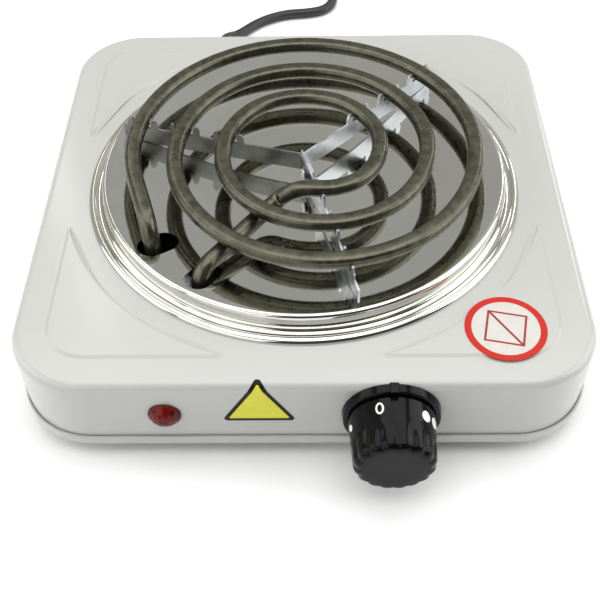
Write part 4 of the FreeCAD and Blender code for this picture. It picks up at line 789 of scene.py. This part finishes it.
def makeDotTree(setup):
    # A row of round dots that get smaller, laid out flat.
    first, last = setup["dotSizes"]
    tree, sockets, start, end = newShapeTree("dotRow", (
        ("Row", "Geometry", None), ("Dots", "Int", setup["dots"]), ("Spacing", "Float", 0.006),
        ("First Size", "Float", first), ("Last Size", "Float", last), ("Print", "Material", None)), "Marks")
    line, offset = tree.nodes.new("GeometryNodeMeshLine"), tree.nodes.new("ShaderNodeCombineXYZ")
    dot = addNode(tree, "GeometryNodeMeshCircle", Radius=mm)
    dot.fill_type = "TRIANGLE_FAN"
    dot.inputs["Vertices"].default_value = 24
    fine = tree.nodes.new("GeometryNodeSubdivideMesh")
    fine.inputs["Level"].default_value = 2
    number, size = tree.nodes.new("GeometryNodeInputIndex"), tree.nodes.new("ShaderNodeMapRange")
    stamp = tree.nodes.new("GeometryNodeInstanceOnPoints")
    for source, target in (
            (start.outputs["Dots"], line.inputs["Count"]), (start.outputs["Spacing"], offset.inputs[0]),
            (offset.outputs[0], line.inputs["Offset"]), (line.outputs[0], stamp.inputs["Points"]),
            (dot.outputs[0], fine.inputs[0]), (fine.outputs[0], stamp.inputs["Instance"]),
            (number.outputs[0], size.inputs["Value"]), (start.outputs["Dots"], size.inputs["From Max"]),
            (start.outputs["First Size"], size.inputs["To Min"]),
            (start.outputs["Last Size"], size.inputs["To Max"]), (size.outputs[0], stamp.inputs["Scale"])):
        tree.links.new(source, target)
    endShapeTree(tree, stamp.outputs[0], start.outputs["Print"], end)
    return tree, sockets


def makeKnobMarks(setup):
    spacing = math.radians(setup["dotStep"]) * drumRadius(setup, setup["dotAt"])
    tree, sockets = makeDotTree(setup)
    flat = grown("dots", bpy.data.meshes.new("dotSeat"), tree, sockets, {
        "Dots": setup["dots"], "Spacing": spacing * mm, "Print": materials["whitePrint"]})
    for vertex in flat.vertices:
        around, along = vertex.co.x / mm, vertex.co.y / mm
        vertex.co = onDrum(setup, setup["dotFirst"], around, setup["dotAt"] + along, setup["lift"])
    addMesh("knobDots", flat, "whitePrint", "knob")
    wide, tall = (size / 2 for size in setup["zeroSize"])
    stroke, steps = setup["zeroStroke"], 64
    sheets = []
    for lift in (setup["lift"], -0.1):
        rows = []
        for inset in (0, stroke / 2, stroke):
            for step in range(steps):
                angle = 2 * math.pi * step / steps
                rows.append(onDrum(setup, setup["zeroAngle"], (wide - inset) * math.cos(angle),
                                   setup["zeroAt"] + (tall - inset) * math.sin(angle), lift))
        sheets.append(rows)
    verts, faces = thinSheet(*sheets, 3, steps, closed=True)
    addPiece("knobZero", verts, faces, "whitePrint", "knob")


def makeBezel(setup):
    radius, depth = setup["radius"], setup["depth"]
    at = spot(*setup["centre"])
    profile = [(7.5, depth - 1.2), (7.5, depth), (16.4, depth), (17, depth), (radius - 1.2, depth)]
    profile += arcBetween((radius - 1.2, depth), (radius - 0.4, depth - 0.8), 0.8, 1, 5)
    profile += [(radius, 0), (radius - 1.4, 0), (radius - 1.6, depth - 1.2)]
    ring = lathe(profile, at, facingFront, 192)
    across, along, high = setup["rib"]
    half, edge = across / 2, 0.5
    base, top = radius - 0.9, radius - 0.8 + high
    rib = [(-half, base), (half, base), (half, top - edge)]
    rib += arcPoints((half - edge, top - edge), edge, 0, 90, 5)
    rib += arcPoints((edge - half, top - edge), edge, 90, 180, 5)
    notch = prism([(-25, -19.8), (25, -19.8), (25, -14.2), (-25, -14.2)], -0.3, 1.5, facingFront, at)
    mesh = extended(carved(ring, notch), *prism(rib, 0, along, facingFront, at))
    addMesh("bezel", mesh, "blackMoulding", "housing", ["knob_bezel"], sharp=35)


makeKnob(knobSetup)
makeKnobMarks(knobSetup)
makeBezel(bezelSetup)
print("knob ready")

# Lamp lens: a red dome with shallow facets, on a stem that goes through the wall.
lensSetup = {"centre": (-53.5, -115, 27.5), "radius": 6.5, "dome": 3.4, "stem": 4.4, "facets": 12}


def makeLens(setup):
    radius, dome, stem = setup["radius"], setup["dome"], setup["stem"]
    rim = radius - 0.6
    ball = (rim ** 2 + dome ** 2) / (2 * dome)
    rows = [(stem - 1, 1), (stem - 1, -6), (stem, -6), (stem, 0), (radius, 0), (radius, 0.6),
            (radius - 0.15, 0.9), (rim + 0.2, 1.15)]
    seat = len(rows)     # the dome's rows start here
    rows += [(rim * (1 - i / 16), 1.2 + dome - ball + math.sqrt(ball ** 2 - (rim * (1 - i / 16)) ** 2))
             for i in range(16)]
    rows += [(0.02, 1.2 + dome), (0.02, 1)]
    at, steps = spot(*setup["centre"]), 96
    verts = []
    for index, (size, height) in enumerate(rows):
        onDome = index >= seat and height > 1.1
        for step in range(steps):
            angle = 2 * math.pi * step / steps
            ridge = abs(math.sin(setup["facets"] / 2 * angle)) * math.sin(math.pi * min(size / rim, 1))
            drop = 0.35 * ridge * 0.5 if onDome else 0
            verts.append(at + facingFront @ (onCircle(size, angle, height - drop) * mm))
    addPiece("lens", verts, ringFaces(len(rows), steps), "lensRed", "housing", ["lamp_lens"], sharp=30)


# Triangle on the front wall; its tip bends back over the top edge.
triangleSetup = {"middle": -17, "side": 29.4, "base": 23.1, "corner": 1.5, "border": 1.6,
                 "front": -115, "edge": 3.5}


def triangleWidth(side, corner, height):
    # Half the width of a round-cornered triangle at a height above its base.
    tall = side * math.sqrt(3) / 2
    low, tip = side / 2 - math.sqrt(3) * corner, tall - 2 * corner
    if height < 1.5 * corner:
        return low + math.sqrt(max(corner ** 2 - (corner - height) ** 2, 0))
    if height > tip + corner / 2:
        return math.sqrt(max(corner ** 2 - (height - tip) ** 2, 0))
    return (tall - height) / math.sqrt(3)


def onFront(setup, across, height, lift):
    edge, top = setup["edge"], topHeight / mm
    straight = top - edge - setup["base"]
    bend = (height - straight) / edge
    if bend <= 0:
        return spot(setup["middle"] + across, setup["front"] - lift, setup["base"] + height)
    if bend <= math.pi / 2:
        return spot(setup["middle"] + across, setup["front"] + edge - (edge + lift) * math.cos(bend),
                    top - edge + (edge + lift) * math.sin(bend))
    return spot(setup["middle"] + across, setup["front"] + edge + (bend - math.pi / 2) * edge, top + lift)


def makeTriangle(setup, name, inset, finish, lifts, cadNodes=()):
    side = setup["side"] - 2 * math.sqrt(3) * inset
    corner = max(setup["corner"] - inset * 0.6, 0.5)
    tall = side * math.sqrt(3) / 2 - corner
    rows, columns = 72, 13
    grids = []
    for lift in lifts:
        grid = []
        for row in range(rows):
            share = row / (rows - 1)
            height = tall * (0.0006 + 0.9988 * (share - math.sin(2 * math.pi * share) / (2 * math.pi) * 0.7))
            width = triangleWidth(side, corner, height)
            for column in range(columns):
                grid.append(onFront(setup, width * (2 * column / (columns - 1) - 1), inset + height, lift))
        grids.append(grid)
    verts, faces = thinSheet(*grids, rows, columns)
    return addPiece(name, verts, faces, finish, "housing", cadNodes)


makeLens(lensSetup)
makeTriangle(triangleSetup, "triangleBorder", 0, "labelBlack", (0.09, 0.01), ["warning_triangle"])
makeTriangle(triangleSetup, "triangleFace", triangleSetup["border"], "labelYellow", (0.13, 0.05))
print("lamp and labels ready")

# Mains cord: down from the sleeve, across the table, and the rest of it wound up.
cordSetup = {
    "diameter": 5.5, "length": 1.0, "exit": (-47, 139, 17),
    "hank": (-25, 260), "lanes": (32.75, 27.25, 27.25, 32.75), "layers": (3.4, 3.4, 8.95, 8.95),
    "lastLane": (30.0, 13.4), "perTurn": 16,
}


def cordPoints(setup):
    start = Vector(setup["exit"])
    floor = setup["diameter"] / 2 + 0.15
    x, y, z = start
    points = [
        (x, y, z), (x, y + 7.5, z), (x + 0.5, y + 17.5, z - 2.5), (x + 2.5, y + 27.8, z - 7.9),
        (x + 6.5, y + 38.5, floor), (x + 19, y + 53, floor), (x + 34.5, y + 61, floor),
        (x + 49, y + 62, floor), (x + 60, y + 65.5, floor), (x + 65.5, y + 76, floor),
        (x + 62.5, y + 91, floor), (x + 56.25, y + 106, floor + 0.3),
    ]
    centre, perTurn = setup["hank"], setup["perTurn"]
    swell = 1 / math.cos(math.pi / perTurn)     # the curve cuts inside its points
    lanes = list(zip(setup["lanes"], setup["layers"])) + [setup["lastLane"]]
    for step in range(len(setup["lanes"]) * perTurn + 4):
        lane = min(step // perTurn, len(lanes) - 1)
        part = step % perTurn / perTurn
        radius, height = lanes[lane]
        if part > 0.75 and lane + 1 < len(lanes):
            share = (part - 0.75) * 4
            radius += (lanes[lane + 1][0] - radius) * share
            height += (lanes[lane + 1][1] - height) * share
        angle = 2 * math.pi * part
        points.append((centre[0] + radius * swell * math.cos(angle),
                       centre[1] + radius * swell * math.sin(angle), height))
    last = centre[1] + lanes[-1][0]
    points += [(centre[0] - 8, last + 0.4, 13.4), (centre[0] - 22, last, 13), (centre[0] - 40, last, 13)]
    return [spot(*point) for point in points]


def makeCord(setup):
    data = bpy.data.curves.new("mainsCord", "CURVE")
    data.dimensions = "3D"
    data.bevel_depth = setup["diameter"] / 2 * mm
    data.bevel_resolution = 5
    data.resolution_u = 6
    spline = data.splines.new("NURBS")
    points = cordPoints(setup)
    spline.points.add(len(points) - 1)
    for target, point in zip(spline.points, points):
        target.co = (*point, 1)
    spline.order_u = 3
    spline.use_endpoint_u = True
    data.materials.append(materials["cordSheath"])
    piece = linked("mainsCord", data)
    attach(piece, "housing")
    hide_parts("power_cord", "cord_coil", "plug_lead")
    return piece


# Moulded sleeve with rings cut into it, so that it bends.
reliefSetup = {"length": 22, "base": 4.95, "tip": 3.74, "bore": 2.75, "grooves": 6}


def makeStrainRelief(setup):
    wall = 0.8
    profile = [(setup["bore"], -wall - 2.5), (7.5, -wall - 2.5), (7.5, -wall), (5.5, -wall), (5.5, 0),
               (5.6, 0.05), (5.6, 2)]
    count = setup["grooves"]
    for index in range(count):
        low = 3.0 + index * 2.9
        share = (low - 3.0) / (setup["length"] - 3.0)
        radius = setup["base"] + (setup["tip"] - setup["base"]) * share
        profile += [(radius, low), (radius, low + 1.5), (radius - 0.8, low + 1.8), (radius - 0.8, low + 2.6)]
    tip, length = setup["tip"], setup["length"] + 2
    profile += [(tip, length - 3), (tip, length - 0.5), (tip - 0.4, length), (setup["bore"], length)]
    verts, faces = lathe(profile, spot(-47, 115, 17), facingBack, 48)
    return addPiece("strainRelief", verts, faces, "footRubber", "housing", ["strain_relief"])


plugSetup = {"tail": (3.74, 4.95, 20), "radius": 13, "length": 34, "ribs": 5, "rings": 5}


def makePlug(setup):
    small, large, tail = setup["tail"]
    radius, end = setup["radius"], tail + setup["length"]
    profile = [(2.75, 0), (small, 0.4)]
    for index in range(setup["rings"]):
        low = 1.5 + index * 3.4
        size = small + (large - small) * low / tail
        profile += [(size, low), (size, low + 1.7), (size - 0.7, low + 2.0), (size - 0.7, low + 3.0)]
    profile += [(large, tail - 1), (large + 0.6, tail + 0.6)]
    profile += [(radius - 2.4, tail + 1.4), (radius - 0.9, tail + 3.0), (radius - 0.2, tail + 5.2)]
    for index in range(setup["ribs"]):
        low = tail + 13 + index * 3
        profile += [(radius, low), (radius - 0.8, low + 0.5), (radius - 0.8, low + 1.3), (radius, low + 1.8)]
    profile += [(radius, end - 1.6), (radius - 0.5, end - 0.5), (radius - 1.6, end), (0, end)]
    at = spot(cordSetup["hank"][0] - 34, cordSetup["hank"][1] + 30, setup["radius"])
    verts, faces = lathe(profile, at, facingLeft, 64, closed=False)
    return addPiece("plugBody", verts, faces, "plugMoulding", "housing", ["plug_body"])


makeStrainRelief(reliefSetup)
makePlug(plugSetup)
makeCord(cordSetup)
print("cord ready")

# Floor and light.
stageSetup = {"floorSize": 6.0, "floorTone": 0.95, "worldTone": 0.46,
              "frontTone": (0.07, 0.068, 0.06), "shadeTone": (0.46, 0.46, 0.41),
              "glowTone": (0.62, 0.62, 0.57)}
lamps = {
    "overhead": {"place": (0, 60, 1100), "size": 1.3, "power": 11, "aim": (0, 0, 40)},
    "left": {"place": (-1000, -100, 500), "size": 0.9, "power": 4.5, "aim": (0, 0, 40)},
    "right": {"place": (1000, 0, 520), "size": 0.9, "power": 6, "aim": (0, 0, 40)},
    "stripRight": {"place": (668, 792, 620), "size": 0.09, "tall": 0.5, "power": 1.1, "aim": (34, -120, 45)},
    "stripLeft": {"place": (-390, 792, 830), "size": 0.05, "tall": 0.4, "power": 0.4, "aim": (34, -120, 45)},
    "front": {"place": (-760, -1000, 640), "size": 1.0, "power": 5.0, "aim": (0, 0, 30)},
}


def makeStage(setup):
    half = setup["floorSize"] / 2
    corners = [(-half, -half, 0), (half, -half, 0), (half, half, 0), (-half, half, 0)]
    mesh = plainMesh("floor", corners, [(0, 1, 2, 3)])
    floor = linked("floor", mesh)
    material = bpy.data.materials.new("floorPaper")
    material.use_nodes = True
    shader = material.node_tree.nodes["Principled BSDF"]
    tone = setup["floorTone"]
    shader.inputs["Base Color"].default_value = (tone, tone, tone, 1)
    shader.inputs["Roughness"].default_value = 0.9
    mesh.materials.append(material)
    world = bpy.data.worlds.new("studio")
    bpy.context.scene.world = world
    world.use_nodes = True
    # The room is darker in front and behind on the left, and lighter behind on the right.
    tree = world.node_tree
    coordinates, split = tree.nodes.new("ShaderNodeTexCoord"), tree.nodes.new("ShaderNodeSeparateXYZ")
    tree.links.new(coordinates.outputs["Generated"], split.inputs[0])
    ahead = mapped(tree, split.outputs[1], -0.5, -0.12, 1, 0, smooth=True)
    low = mapped(tree, split.outputs[2], 0.82, 0.93, 1, 0, smooth=True)
    behind = mapped(tree, split.outputs[1], 0.15, 0.5, smooth=True)
    leftward = mapped(tree, split.outputs[0], -0.12, 0.03, 1, 0, smooth=True)
    rightward = mapped(tree, split.outputs[0], -0.01, 0.12, smooth=True)
    shade = mathNode(tree, "MULTIPLY", behind, leftward)
    glow = mathNode(tree, "MULTIPLY", behind, rightward)
    room = blended(tree, shade, (setup["worldTone"],) * 3, setup["shadeTone"])
    room = blended(tree, glow, room, setup["glowTone"])
    room = blended(tree, mathNode(tree, "MULTIPLY", ahead, low), room, setup["frontTone"])
    tree.links.new(room, tree.nodes["Background"].inputs["Color"])


def addLamp(name, setup):
    data = bpy.data.lights.new(name, "AREA")
    data.energy = setup["power"]
    data.size = setup["size"]
    if "tall" in setup:
        data.shape = "RECTANGLE"
        data.size_y = setup["tall"]
    lamp = linked(name, data)
    place, aim = spot(*setup["place"]), spot(*setup["aim"])
    turn = (aim - place).to_track_quat("-Z", "Y").to_matrix().to_4x4()
    lamp.matrix_world = Matrix.Translation(place) @ turn


makeStage(stageSetup)
for name, setup in lamps.items():
    addLamp(name, setup)
bpy.context.scene.view_settings.view_transform = "Standard"
print("stage ready")
